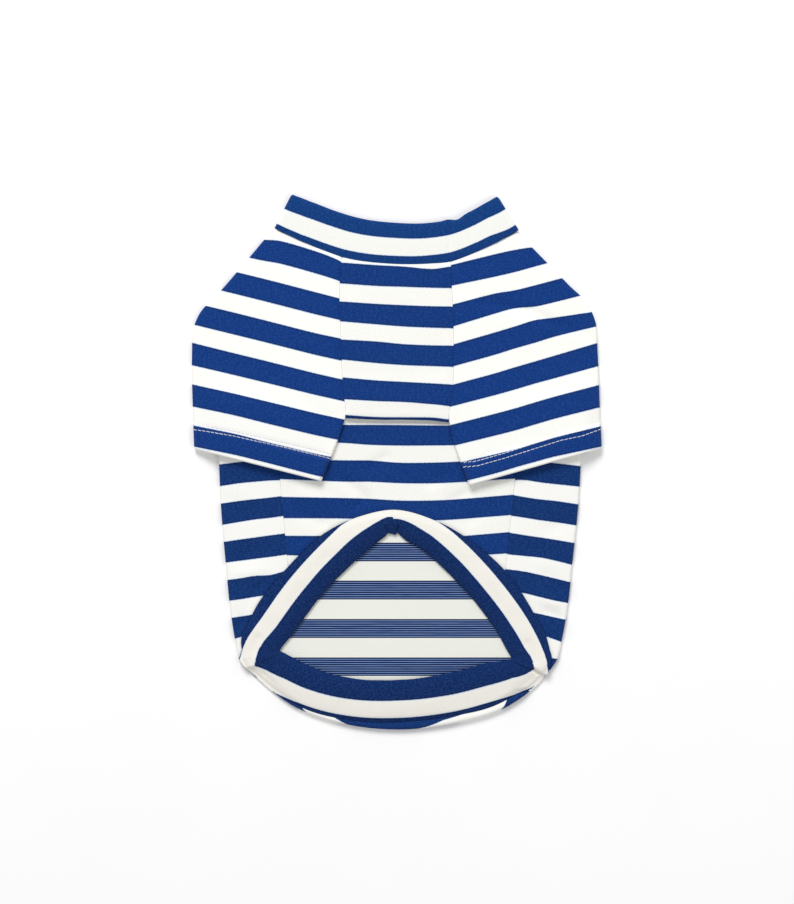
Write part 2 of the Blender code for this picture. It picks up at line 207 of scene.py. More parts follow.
def clothPiece(name, patches, solid=False, flat=None):
    # a patch is a grid of (x, y, z, place across the stripes, stripe count, thickness), with None
    # where there is no cloth; flat is the outline of one flat face, cut into cells once all is joined
    thickest = max(point[5] for rows, flip in patches for row in rows for point in row if point)
    thinnest = cloth["thinnest"]
    work = bmesh.new()
    courses = work.loops.layers.uv.new("courses")
    weights = work.verts.layers.deform.verify()

    def addVertex(x, y, z, thickness):
        vertex = work.verts.new((x * mm, y * mm, z * mm))
        vertex[weights][0] = (thickness / thickest - thinnest) / (1 - thinnest)
        return vertex

    for rows, flip in patches:
        made = [[(point and addVertex(*point[:3], point[5]), point) for point in row] for row in rows]
        for line, after in zip(made, made[1:]):
            for index in range(len(line) - 1):
                corners = [line[index], line[index + 1], after[index + 1], after[index]]
                if any(vertex is None for vertex, point in corners):
                    continue
                if flip:
                    corners.reverse()
                face = work.faces.new([vertex for vertex, point in corners])
                for loop, (vertex, point) in zip(face.loops, corners):
                    loop[courses].uv = (point[3] / cloth["repeat"], point[4])
    if flat:
        work.faces.new([addVertex(corner.x, corner.y, 0, cloth["layer"]) for corner in flat])
    bmesh.ops.remove_doubles(work, verts=work.verts, dist=0.01 * mm)
    if flat:
        cutFlatFace(work, courses, weights)
    mesh = bpy.data.meshes.new(name)
    work.to_mesh(mesh)
    work.free()
    piece = bpy.data.objects.new(name, mesh)
    bpy.context.scene.collection.objects.link(piece)
    bpy.ops.object.select_all(action="DESELECT")
    bpy.context.view_layer.objects.active = piece
    piece.select_set(True)
    group = piece.vertex_groups.new(name="thickness")
    mesh.materials.append(None)
    if not solid:
        mesh.materials.append(None)        # the inner side of the wall takes this second slot
        wall = piece.modifiers.new("wall", "SOLIDIFY")
        wall.offset = -1
        wall.thickness = thickest * mm
        wall.vertex_group = group.name
        wall.thickness_vertex_group = thinnest
        wall.material_offset = 1
        bpy.ops.object.modifier_apply(modifier=wall.name)
    bpy.ops.object.shade_smooth_by_angle(angle=math.radians(50))
    piece.vertex_groups.clear()
    return piece


# how the collar and the hem band, both strips folded double, are cut across
doubled = {
    "flat": (0, 0.03, 0.07, 0.11, 0.15, 0.2, 0.25, 0.3, 0.35, 0.41, 0.47, 0.53, 0.6, 0.68, 0.77, 0.88),
    "rolled": (1, 0.84, 0.68, 0.53, 0.4, 0.28, 0.18, 0.1, 0.045, 0.012),
    "curlWidth": 8,
    "droopWidth": 7,
    "leastHeight": 0.1,
    "blueOver": 4.0,         # the blue reaches this far round the fold at the least
}

neckBand = {
    "wall": 2.3,
    "top": 5.2,
    "puff": 0.25,
    "roll": 2.6,
    "pinch": 0.5,
    "pinchWidth": 3.0,
    "wave": (0.3, 30, 3.1),
    "joinX": 33.2,           # the ring's own seam, right of the chest
    "joinDents": (0.45, 0.3),    # at the seam and at the top edge
    "joinThins": 0.14,
    "topDents": [(0.35, 31.4, 2.5), (-1.5, 37.8, 3.6)],      # depth, x, half width
    # seam x, seam y, top edge x, top edge y, left end to right end
    "stations": [
        (-76.0, 144.5, -65.4, 165.8), (-60.0, 137.8, -53.5, 162.2), (-44.5, 131.6, -38.5, 156.5),
        (-34.0, 127.8, -27.5, 153.0), (-2.0, 123.4, -1.0, 149.0), (21.0, 123.6, 20.0, 148.9),
        (33.7, 124.9, 33.0, 151.0), (48.5, 130.4, 45.5, 155.9), (62.5, 136.8, 58.0, 162.7),
        (76.3, 143.2, 63.2, 164.3),
    ],
    # station, where the blue ends and where the white ends, counted from the top edge
    "stripes": [
        (0, 10.4, 20.9), (1, 10.2, 21.6), (2, 9.8, 21.4), (3, 9.8, 21.4), (4, 9.5, 20.8), (5, 9.4, 20.3),
        (6, 9.5, 20.6), (7, 9.3, 20.2), (8, 9.7, 21.2), (9, 9.5, 21.3),
    ],
}
neckAt = smoothTrack(neckBand["stations"])
neckEnd = len(neckBand["stations"]) - 1
neckSeamLine = [neckAt(place)[:2] for place in stepsBetween(0, neckEnd, 90)]


def neckSeamY(x):
    return readTable(neckSeamLine, x)


def stripStripe(distance, blueEnd, whiteEnd):
    # a doubled strip's stripes, counted from its folded edge
    blue = cloth["blueShare"]
    if distance < blueEnd:
        blueWidth = max(cloth["repeat"] * blue, blueEnd + doubled["blueOver"])
        return blue - blue * (blueEnd - distance) / blueWidth
    return blue + (1 - blue) * (distance - blueEnd) / (whiteEnd - blueEnd)


def roundEnd(distance, radius):
    if distance >= radius:
        return 1.0
    return math.sqrt(max(0.0, 1 - (1 - distance / radius) ** 2))


def foldedSection(seam, fold, normal, shape):
    # a strip folded double, cut across: rolled over at its folded edge and pinched at its seam
    half = shape["wall"] / 2
    width = (fold - seam).length
    run = (fold - seam) / width
    roll = min(shape["roll"], 0.45 * width)
    profile = [share * (width - roll) for share in doubled["flat"]]
    profile += [width - roll * share for share in doubled["rolled"]]
    blue, white = shape["stripes"]
    points = []
    for place in profile:
        pinch = mix(shape["pinch"], 1.0, ease(place / shape["pinchWidth"]))
        crown = 1 + shape["puff"] * math.sin(math.pi * min(1, place / width))
        height = half * pinch * crown * roundEnd(width - place, roll)
        droop = shape["droop"] * (1 - ease(place / doubled["droopWidth"]))
        curl = shape["curl"] * max(0.0, 1 - (width - place) / doubled["curlWidth"]) ** 2
        top = max(doubled["leastHeight"] * half, height - droop) - curl
        points.append((place, max(doubled["leastHeight"], height) + curl, top))
    section = []
    for place, height, top in points:
        section.append((seam + run * place + normal * top, stripStripe(width - place, blue, white)))
    section.append((fold - normal * shape["curl"], stripStripe(0, blue, white)))
    for place, height, top in reversed(points):
        # the seam's edge is closed in the top's own stripe
        count = stripStripe(place - width if place else width, blue, white)
        section.append((seam + run * place - normal * min(height, half), count))
    section = [(at.x, at.y, at.z, shape["across"], stripe, cloth["layer"]) for at, stripe in section]
    return section + section[:1]


def makeNeckBand():
    inset = neckBand["top"] / 2
    lift = inset - neckBand["wall"] / 2
    # station and angle: along the front, round the right end, back behind it and round the left end
    ring = [(place, 90) for place in stepsBetween(0, neckEnd, 108)]
    ring += [(neckEnd, angle) for angle in stepsBetween(90, -90, 8)[1:-1]]
    ring += [(neckEnd - place, -90) for place in stepsBetween(0, neckEnd, 72)]
    ring += [(0, angle) for angle in stepsBetween(-90, -270, 8)[1:]]
    sections = []
    travelled = 0.0
    lastSeam = None
    for place, angle in ring:
        seamX, seamY, topX, topY = neckAt(place)
        shift = mix(inset, 0, min(1, place)) - mix(inset, 0, min(1, neckEnd - place))
        seam = Vector((seamX + shift, seamY, inset))
        top = Vector((topX + shift, topY, inset))
        side = Vector((top.y - seam.y, seam.x - top.x, 0)).normalized()
        turn = math.radians(angle)
        normal = Vector((0, 0, 1)) * math.sin(turn) + side * math.cos(turn)
        front = max(0.0, math.sin(turn))
        join = bell(seam.x - neckBand["joinX"], 1.0) * front
        wave = ripple(seam.x, seam.y, neckBand["wave"]) * front
        out = (top - seam).normalized()
        seamDent, topDent = neckBand["joinDents"]
        seam += normal * (lift - seamDent * join + wave)
        top += normal * (lift - topDent * join + wave)
        dip = sum(depth * bell(top.x - x, halfWidth) for depth, x, halfWidth in neckBand["topDents"])
        top += out * dip
        if lastSeam is not None:
            travelled += (seam - lastSeam).length
        lastSeam = seam.copy()
        shape = {
            "wall": neckBand["wall"] * (1 - neckBand["joinThins"] * join),
            "puff": neckBand["puff"] * front,
            "droop": 0.0,
            "roll": neckBand["roll"],
            "pinch": mix(1.0, neckBand["pinch"], abs(math.sin(turn))),
            "pinchWidth": neckBand["pinchWidth"],
            "curl": 0.0,
            "stripes": [readTable(neckBand["stripes"], place, column) + dip for column in (1, 2)],
            "across": travelled,
        }
        sections.append(foldedSection(seam, top, normal, shape))
    return clothPiece("neckBand", [(sections, False)], solid=True)


sleeves = {
    "left": {
        # inner edge x, inner edge y, outer fold x, outer fold y, collar to cuff
        "stations": [
            (-34.0, 128.0, -77.0, 145.2), (-35.4, 107.0, -95.0, 123.5), (-35.0, 87.5, -110.0, 106.0),
            (-34.3, 71.0, -122.3, 92.7), (-33.9, 60.5, -126.3, 83.0), (-33.2, 46.5, -127.0, 69.5),
            (-31.9, 28.0, -127.0, 50.8), (-34.3, 20.0, -126.8, 43.0), (-46.5, -11.3, -125.6, 8.8),
        ],
        "lines": [
            (197, 235, 262, 280, 315, 335, 343),
            (-3, 221.0, 233.5, 239.2, 240.8, 251.0, 258.5, 262.8),
            (-2, 262.0, 271.5, 278.2, 282.8, 292.0, 297.2, 299.4),
            (-1, 303.5, 312.7, 319.5, 324.1, 333.0, 337.3, 339.0),
            (0, 343.8, 353.3, 359.9, 364.4, 373.2, 377.8, 379.6),
            (1, 385.3, 393.7, 400.2, 404.5, 413.0, 417.4, 419.2),
            (2, 426.0, 433.7, 440.7, 445.2, 453.5, 457.5, 459.1),
            (2.53, 446.6, 454.2, 460.8, 465.4, 474.5, 478.9, 480.6),
            (3, 466.5, 474.5, 481.2, 485.7, 494.0, 498.0, 499.6),
        ],
        "creases": [
            (205, 300, 245, 330, 9, -0.5), (330, 300, 338, 350, 8, 0.4), (212, 372, 232, 432, 9, 0.35),
            (290, 395, 332, 420, 9, -0.35), (262, 262, 300, 282, 7, 0.3),
        ],
        # share of the sleeve's width from its inner edge, distance of the topstitch from the cuff
        "stitchLine": [(0, 15.4), (0.33, 15.0), (0.57, 14.4), (0.7, 14.1), (0.9, 12.7), (1, 11.7)],
        "waves": [(0.5, 36, 1.7), (0.16, 14, 3.7)],
    },
    "right": {
        "stations": [
            (33.7, 126.3, 75.0, 144.8), (34.3, 109.5, 91.0, 127.5), (35.2, 90.0, 106.5, 111.0),
            (35.5, 73.8, 118.9, 98.4), (35.5, 62.8, 123.4, 88.0), (34.7, 43.5, 124.8, 69.2),
            (32.5, 28.0, 125.6, 54.2), (33.7, 20.0, 125.8, 46.7), (44.8, -14.0, 127.3, 9.3),
        ],
        "lines": [
            (457, 495, 515, 535, 555, 592),
            (-3, 263.5, 254.1, 249.7, 246.6, 244.0, 238.0),
            (-2.47, 284.1, 276.2, 271.5, 265.9, 260.5, 250.5),
            (-2, 303.3, 293.4, 290.2, 285.2, 279.8, 270.0),
            (-1.47, 324.8, 313.1, 307.6, 306.1, 301.7, 292.0),
            (-1, 343.3, 332.3, 326.3, 319.9, 317.3, 312.0),
            (-0.47, 364.8, 354.2, 347.9, 342.2, 335.9, 326.8),
            (0, 383.5, 373.2, 367.1, 361.3, 355.4, 344.3),
            (0.53, 404.5, 394.6, 389.0, 383.0, 377.6, 367.3),
            (1, 423.3, 413.6, 408.2, 402.2, 396.4, 386.7),
            (2, 463.0, 454.0, 449.1, 443.2, 437.3, 428.2),
            (2.53, 482.5, 472.6, 466.6, 461.0, 455.6, 447.9),
            (3, 503.0, 494.5, 489.5, 484.0, 478.0, 469.0),
        ],
        "creases": [
            (484, 302, 530, 311, 4.5, -1.1), (530, 311, 560, 326, 4.5, -1.1),
            (560, 326, 590, 336, 4.5, -0.6), (496, 318, 540, 332, 8, 0.4),
            (462, 330, 470, 380, 8, 0.4), (556, 372, 588, 420, 9, 0.35),
        ],
        "stitchLine": [(0, 12.6), (0.1, 10.7), (0.3, 10.6), (0.55, 11.2), (0.7, 11.6), (0.86, 10.6),
                       (1, 11.4)],
        "waves": [(0.5, 36, 5.3), (0.16, 14, 7.3)],
    },
    "underCollar": 0.4,      # how far sleeves and chest reach in under the collar's seam edge
    "tuckRow": 6,
    "armholeRow": 7,
    "cuffRow": 8,
    "hemCloth": 2.4,
    "cuffHem": 13.5,
    "rowApart": 3.1,         # the cover stitch has two needles
    "needleDent": (0.26, 0.9),       # each presses the cloth in: depth, half width
    "stitched": (20.0, 9.6),         # the finer rows of the mesh round them
    "cuffRidges": (0.14, 9, 9.0),
    "ridgesFrom": (15, 13),          # distance from the cuff where they start and are full
    "seamDent": 0.65,
    "collarDent": 0.6,
    "cuffRound": 1.1,
    "edgeTop": 3.6,
    "backSeam": (34.5, 77.5),        # place of the underside's raglan seam, at the collar and armhole
    # how far inside the body's side fold the sleeve starts and stops rising over it
    "topRises": (-16, -1),
    "bottomRises": (-7, 1),
}
sleeveAt = {side: smoothTrack(sleeves[side]["stations"]) for side in ("left", "right")}
chestHeights = [(28.0, tuckTop), (38.0, tuckTop), (56.0, 6.2), (90.0, 5.6), (126.0, 5.1)]
sideFolds = [(-65.0, -105.8, 108.8), (-44.0, -107.8, 111.2), (-22.0, -109.4, 113.3),
             (0.0, -110.2, 114.4), (45.0, -110.5, 114.0)]


def chestHeight(y):
    return readTable(chestHeights, y)


def sideFoldX(side, y):
    return readTable(sideFolds, y, 1 if side == "left" else 2)


def nearNeck(x, y, row):
    # bends the straight rows beside the collar to its curved seam
    if row >= 2:
        return y
    left = sleeves["left"]["stations"][0]
    right = sleeves["right"]["stations"][0]
    chord = [(left[2], left[3]), (left[0], left[1]), (right[0], right[1]), (right[2], right[3])]
    return y + (neckSeamY(x) + sleeves["underCollar"] - readTable(chord, x)) * ramp(row, 2, 0)


def sleeveLine(side, row):
    innerX, innerY, outerX, outerY = sleeveAt[side](row)
    inner = Vector((innerX, innerY))
    outer = Vector((outerX, outerY))
    return inner, outer, (outer - inner).length


def cuffDistance(side, row):
    inner, outer, width = sleeveLine(side, row)
    cuffInner, cuffOuter, cuffWidth = sleeveLine(side, sleeves["cuffRow"])
    return ((cuffInner - inner).length + (cuffOuter - outer).length) / 2


def sleeveCloth(side, row):
    if row <= sleeves["armholeRow"]:
        return cloth["layer"]
    share = ease((cuffDistance(side, row) - sleeves["cuffHem"]) / 2)
    return mix(sleeves["hemCloth"], cloth["layer"], share)


def insideFold(side, point):
    fold = sideFoldX(side, point.y)
    return point.x - fold if side == "left" else fold - point.x


def placeAlong(side, row, inside):
    inner, outer, width = sleeveLine(side, row)
    start = insideFold(side, inner)
    return width * (start - inside) / (start - insideFold(side, outer))


def sleevePoint(side, row, place, upward):
    inner, outer, width = sleeveLine(side, row)
    armhole, tuckRow = sleeves["armholeRow"], sleeves["tuckRow"]
    stack = 2 * sleeveCloth(side, row) + sleeveGap
    flat = inner + (outer - inner) / width * place
    flat.y = nearNeck(flat.x, flat.y, row)
    inside = insideFold(side, flat)
    edge = max(stack, sleeves["edgeTop"])
    overBody = mix(edge, sleeveUnderTop + stack, ramp(inside, *sleeves["topRises"]))
    yoke = mix(chestHeight(inner.y), sleeves["edgeTop"], place / width)
    loose = ramp(row, armhole - 2, armhole)
    top = mix(yoke, overBody, loose)
    bottom = 0.0
    if upward and place < 4:
        bottom = sleeveUnderTop * ramp(row, tuckRow, tuckRow + 0.4)
    if row >= armhole:
        bottom = sleeveUnderTop * ramp(inside, *sleeves["bottomRises"])
    endRadius = mix(sleeves["edgeTop"], edge, loose) / 2
    rolled = ramp(row, tuckRow, armhole)
    fromCuff = cuffDistance(side, row)
    fromCollar = (sleeveLine(side, 0)[0] - inner).length if row < 2 else width
    thickness = sleeveCloth(side, row)
    if upward:
        seamDip = dent(sleeves["seamDent"], place) * (1 - rolled)
        seamDip += dent(sleeves["collarDent"], fromCollar) * mix(1.0, 0.1, place / width)
        wave = sum(ripple(flat.x, flat.y, each) for each in sleeves[side]["waves"])
        wave += troughs(sleeves[side]["creases"], flat.x, flat.y)
        if row > armhole:
            wave += ripple(flat.x, flat.y, sleeves["cuffRidges"]) * ramp(fromCuff, *sleeves["ridgesFrom"])
            depth, halfWidth = sleeves["needleDent"]
            for needle in (0, 1):
                seam = readTable(sleeves[side]["stitchLine"], place / width) + needle * sleeves["rowApart"]
                wave -= depth * bell(fromCuff - seam, halfWidth)
        wave *= calm(place) * calm(width - place, 9) * calm(fromCollar - 1, 8)
        top += wave - seamDip
        if seamDip > 0.05:
            thickness = mix(thickness, cloth["seamEdge"], min(1, seamDip))
    elif row < armhole:
        fromBackSeam = place - mix(*sleeves["backSeam"], row / armhole)
        thickness = mix(cloth["seamEdge"], thickness, ramp(fromBackSeam, 0, 2))
    middle = (top + bottom) / 2
    half = (top - bottom) / 2
    # the cuff's turned edge is round
    lip = 0.0
    if fromCuff < sleeves["cuffRound"]:
        lip = sleeves["cuffRound"] * (1 - roundEnd(fromCuff, sleeves["cuffRound"]))
        thickness = sleeves["hemCloth"] - 2 * lip
    shape = roundEnd(width - place, endRadius) * mix(1.0, roundEnd(place, stack / 2), rolled)
    height = max(0.2, half - lip) * shape
    across = place if upward else 2 * width - place
    return (flat.x, flat.y, middle + (height if upward else -height),
            across, stripeAt(sleeves[side]["lines"], flat.x, flat.y), thickness)


def sleeveSection(side, row):
    inner, outer, width = sleeveLine(side, row)
    armhole = sleeves["armholeRow"]
    rollRadius = (2 * sleeveCloth(side, row) + sleeveGap) / 2
    endRadius = sleeves["edgeTop"] / 2
    roll = [rollRadius * (1 - math.cos(math.radians(angle))) for angle in (0, 22.5, 45, 67.5, 90)]
    turn = [width - endRadius * (1 - math.cos(math.radians(angle))) for angle in (90, 70, 50, 30, 15)]
    upper = roll + stepsBetween(rollRadius, rollRadius + 3, 3)[1:]
    upper += stepsBetween(rollRadius + 3, turn[0], 34)[1:-1] + turn + [width]
    seam = mix(*sleeves["backSeam"], row / armhole)
    tail = []
    if row >= armhole:
        seam = placeAlong(side, row, -3.0)
        tail = [placeAlong(side, row, inside) for inside in (-2, -1, 0, 1, 2.5)]
    under = stepsBetween(tail[-1] if tail else seam, rollRadius, 22)[1:-1] + roll[::-1]
    lower = turn[::-1] + stepsBetween(turn[0], seam, 10)[1:]
    points = [sleevePoint(side, row, place, True) for place in upper]
    points += [sleevePoint(side, row, place, False) for place in lower]
    if tail:
        return points + [sleevePoint(side, row, place, False) for place in tail + under]
    return points + [None] * (5 + len(under))


def makeSleeve(side):
    tuckRow, armhole, cuff = sleeves["tuckRow"], sleeves["armholeRow"], sleeves["cuffRow"]
    perMillimetre = 1 / cuffDistance(side, armhole)
    start, end = [cuff - distance * perMillimetre for distance in sleeves["stitched"]]
    rows = [0, 0.03, 0.06, 0.1, 0.16] + stepsBetween(0.25, tuckRow, 56)
    rows += stepsBetween(tuckRow, armhole, 6)[1:-1] + stepsBetween(armhole, start, 16)[:-1]
    rows += stepsBetween(start, end, 22) + stepsBetween(end, cuff - 0.04, 4)[1:]
    rows += [cuff - step for step in (0.028, 0.019, 0.011, 0.004, 0)]
    sections = [sleeveSection(side, row) for row in rows]
    return clothPiece("sleeve" + side.capitalize(), [(sections, side == "right")])


hemBand = {
    "wall": 2.9,
    "frontLevel": 3.7,
    "backLevel": 3.0,
    "roll": 8.0,
    "puff": 0.7,
    "pinch": 0.45,
    "pinchWidth": 4.0,
    "droop": 1.1,            # where the band's edge lies on the body's outline
    "curl": (0.9, 0.3),      # on the front arms and on the back arc
    "lean": (-1.1, 0.9),     # the back arc leans outward, away from the opening: its seam, its fold
    "step": (-0.7, 1.3),     # the front arms lie over the ends of the back arc
    "joinThins": 0.15,
    "joinSpacing": (20, 15.6),       # millimetres a station on both sides of the band's join
    "seamWave": (0.18, 22, 4.4),
    "foldWave": (0.25, 18, 7.7),
    "edgeWave": (0.3, 12, 2.2),
    "topWave": (0.3, 11, 6.6),
    # seam x, seam y, folded edge x, folded edge y, clockwise from the arch's top
    "stations": [
        (-2.0, -29.0, -1.5, -43.5), (23.5, -35.5, 16.0, -53.8), (47.0, -49.0, 33.0, -69.2),
        (67.5, -67.0, 47.4, -84.5), (84.5, -92.0, 62.5, -105.0), (93.6, -110.0, 69.0, -117.0),
        (95.0, -120.2, 71.2, -121.0), (88.6, -129.2, 69.5, -122.2), (64.0, -146.6, 55.0, -124.3),
        (33.0, -155.0, 29.0, -131.0), (2.0, -158.5, 1.5, -134.5), (-30.0, -157.2, -28.0, -133.5),
        (-60.5, -148.6, -51.0, -127.2), (-84.2, -130.8, -69.6, -117.8), (-94.4, -120.4, -72.3, -116.4),
        (-96.4, -111.5, -71.2, -114.4), (-89.5, -94.0, -65.6, -107.6), (-67.3, -64.5, -46.8, -82.6),
        (-46.0, -44.5, -31.0, -66.0), (-23.0, -33.2, -14.8, -51.7),
    ],
    # station, width of the blue from the folded edge, where the white ends
    "stripes": [
        (0, 8.9, 16.0), (0.2, 9.0, 16.5), (0.5, 9.6, 18.0), (1, 10.6, 20.2), (1.5, 10.6, 21.0),
        (2, 10.5, 21.0), (2.5, 9.8, 20.5), (3, 9.4, 20.2), (3.5, 9.4, 20.2), (4, 9.5, 20.3),
        (5, 10.4, 20.8), (5.5, 11.1, 20.7), (6, 12.2, 21.2), (6.5, 14.0, 23.0), (6.85, 16.6, 26.0),
        (7.1, 15.0, 25.5), (7.5, 13.0, 24.0), (8, 13.7, 24.2), (8.5, 13.7, 24.4), (9, 13.3, 24.2),
        (10, 12.7, 23.8), (11, 12.9, 23.6), (12, 13.6, 23.9), (12.5, 13.9, 24.9), (13, 15.4, 27.7),
        (13.3, 16.9, 28.4), (13.5, 18.5, 28.2), (13.7, 16.4, 27.0), (14, 14.6, 25.6),
        (14.25, 14.0, 24.5), (14.5, 13.5, 23.8), (15, 12.6, 23.0), (15.5, 11.6, 22.0),
        (16, 10.9, 21.6), (16.5, 11.1, 22.0), (17, 10.9, 21.9), (17.5, 11.4, 22.1), (18, 11.6, 22.5),
        (18.5, 11.9, 23.0), (19, 11.6, 21.5), (19.5, 10.9, 18.5), (19.8, 10.8, 17.0), (20, 9.9, 16.0),
    ],
    # station, how far the seam lies beyond the body panels' own seam line
    "seamOut": [(5.6, 0.0), (6.45, 2.6), (6.8, 2.6), (7.1, 0.0), (7.3, 0.0), (7.7, 2.3), (12.3, 2.3),
                (12.6, 0.0)],
    # station, how nearly the band's edge reaches the body's outline
    "toOutline": [(6.3, 0.0), (6.85, 1.0), (7.35, 1.0), (7.7, 0.0), (12.05, 0.0), (12.55, 1.0),
                  (13.95, 1.0), (14.6, 0.0)],
    "miters": (6.9, 13.5),   # the stations where the arms are folded over at the two corners
    # beside the band's join: place from it, half width and how far the folded edge reaches there
    "gathers": [(0.2, 1.6, 1.2), (-4.4, 1.2, -0.9), (2.6, 0.5, -0.9), (9.0, 5.0, 2.0)],
    "creases": [
        (252, 671, 263, 677, 3.0, -1.6), (262, 678, 272, 686, 5, -0.9), (258, 638, 251, 660, 4, -0.8),
        (249, 667, 257, 665, 1.8, 0.6), (254, 664, 262, 661, 2.5, -0.5), (533, 669, 540, 675, 2.0, -1.9),
        (526, 687, 535, 680, 6, -0.8), (528, 643, 533, 662, 4, -0.7), (292, 604, 300, 590, 5, -0.4),
        (318, 568, 326, 557, 4, -0.3), (498, 602, 490, 588, 5, -0.4), (524, 664, 512, 660, 5, -0.5),
        (386.5, 527, 388, 532.5, 1.6, -1.0), (398.8, 526, 396.6, 533.5, 1.5, -1.6),
        (393.5, 512, 393.5, 527, 0.9, -0.3),
    ],
}
# the body's outline below the sleeves, from its right side round the hem to its left side
lowerOutline = [
    (108.8, -65.0), (106.6, -87.0), (103.1, -107.5), (100.0, -121.4), (92.0, -132.6), (67.5, -152.0),
    (36.0, -161.6), (2.0, -165.5), (-31.0, -162.3), (-62.0, -152.0), (-86.3, -133.6), (-97.6, -121.8),
    (-99.8, -112.0), (-103.2, -91.0), (-105.8, -65.0),
]
hemAt = smoothTrack(hemBand["stations"], closed=True)
outlineAt = smoothTrack(lowerOutline)
rightFoot, leftFoot, hemRound = 3, 17, 20        # stations at the feet of the side seams, and in all
footToChest = 1.55
outlineInset = 0.15


def hemSeam(place, towardBand):
    seamX, seamY, foldX, foldY = hemAt(place)
    seam = Vector((seamX, seamY))
    run = (Vector((foldX, foldY)) - seam).normalized()
    place = place % hemRound
    if rightFoot < place < leftFoot:
        seam -= run * readTable(hemBand["seamOut"], place)
        outline = Vector(outlineAt(place - rightFoot))
        edge = outline + (seam - outline).normalized() * outlineInset
        seam = mix(seam, edge, ease(readTable(hemBand["toOutline"], place)))
    return seam + run * (cloth["seamGap"] / 2 if towardBand else -cloth["seamGap"] / 2)


def makeHemBand():
    places = stepsBetween(0, hemRound, 400)[:-1]
    for centre in (0.0, 20.0) + hemBand["miters"]:
        places += [centre + step for step in stepsBetween(-0.5, 0.5, 40)]
    places = sorted({round(place, 4) for place in places if 0 <= place < hemRound})
    rightMiter, leftMiter = hemBand["miters"]
    seamLean, foldLean = hemBand["lean"]
    sections = []
    travelled = 0.0
    lastSeam = None
    for place in places + places[:1]:
        seamX, seamY, foldX, foldY = hemAt(place)
        onBack = ramp(place, 6.5, 7.5) * ramp(place, 13.8, 12.8)
        level = mix(hemBand["frontLevel"], hemBand["backLevel"], onBack)
        behind = ramp(place, rightMiter - 0.04, rightMiter + 0.04)
        behind *= ramp(place, leftMiter + 0.15, leftMiter - 0.15)
        corner = bell(place - rightMiter, 0.7) + bell(place - leftMiter, 0.7)
        step = corner * mix(*hemBand["step"], 1 - behind)
        beforeJoin, afterJoin = hemBand["joinSpacing"]
        fromJoin = place * beforeJoin if place < 10 else (place - hemRound) * afterJoin
        seam = hemSeam(place, True)
        wave = ripple(seamX, seamY, hemBand["seamWave"])
        seam = Vector((seam.x, seam.y, level + step + seamLean * onBack + wave))
        wave = ripple(foldX, foldY, hemBand["foldWave"])
        fold = Vector((foldX, foldY, level + 0.12 * step + foldLean * onBack + wave))
        reach = ripple(foldX, foldY, hemBand["edgeWave"])
        reach += sum(size * bell(fromJoin - at, halfWidth) for at, halfWidth, size in hemBand["gathers"])
        fold += (fold - seam).normalized() * reach
        if lastSeam is not None:
            travelled += (seam - lastSeam).length
        lastSeam = seam.copy()
        shape = {
            "wall": hemBand["wall"] * (1 - hemBand["joinThins"] * bell(fromJoin, 0.9)),
            "puff": hemBand["puff"],
            "droop": hemBand["droop"] * ease(readTable(hemBand["toOutline"], place)),
            "roll": hemBand["roll"],
            "pinch": hemBand["pinch"],
            "pinchWidth": hemBand["pinchWidth"],
            "curl": mix(*hemBand["curl"], onBack),
            "stripes": [readTable(hemBand["stripes"], place, column) + reach for column in (1, 2)],
            "across": travelled,
        }
        section = []
        for x, y, z, across, stripe, layer in foldedSection(seam, fold, Vector((0, 0, 1)), shape):
            if z > level:
                swell = ripple(x, y, hemBand["topWave"]) + troughs(hemBand["creases"], x, y)
                z += swell * ramp(z, level, level + 1.2)
            section.append((x, y, z, across, stripe, layer))
        sections.append(section)
    return clothPiece("hemBand", [(sections, False)], solid=True)


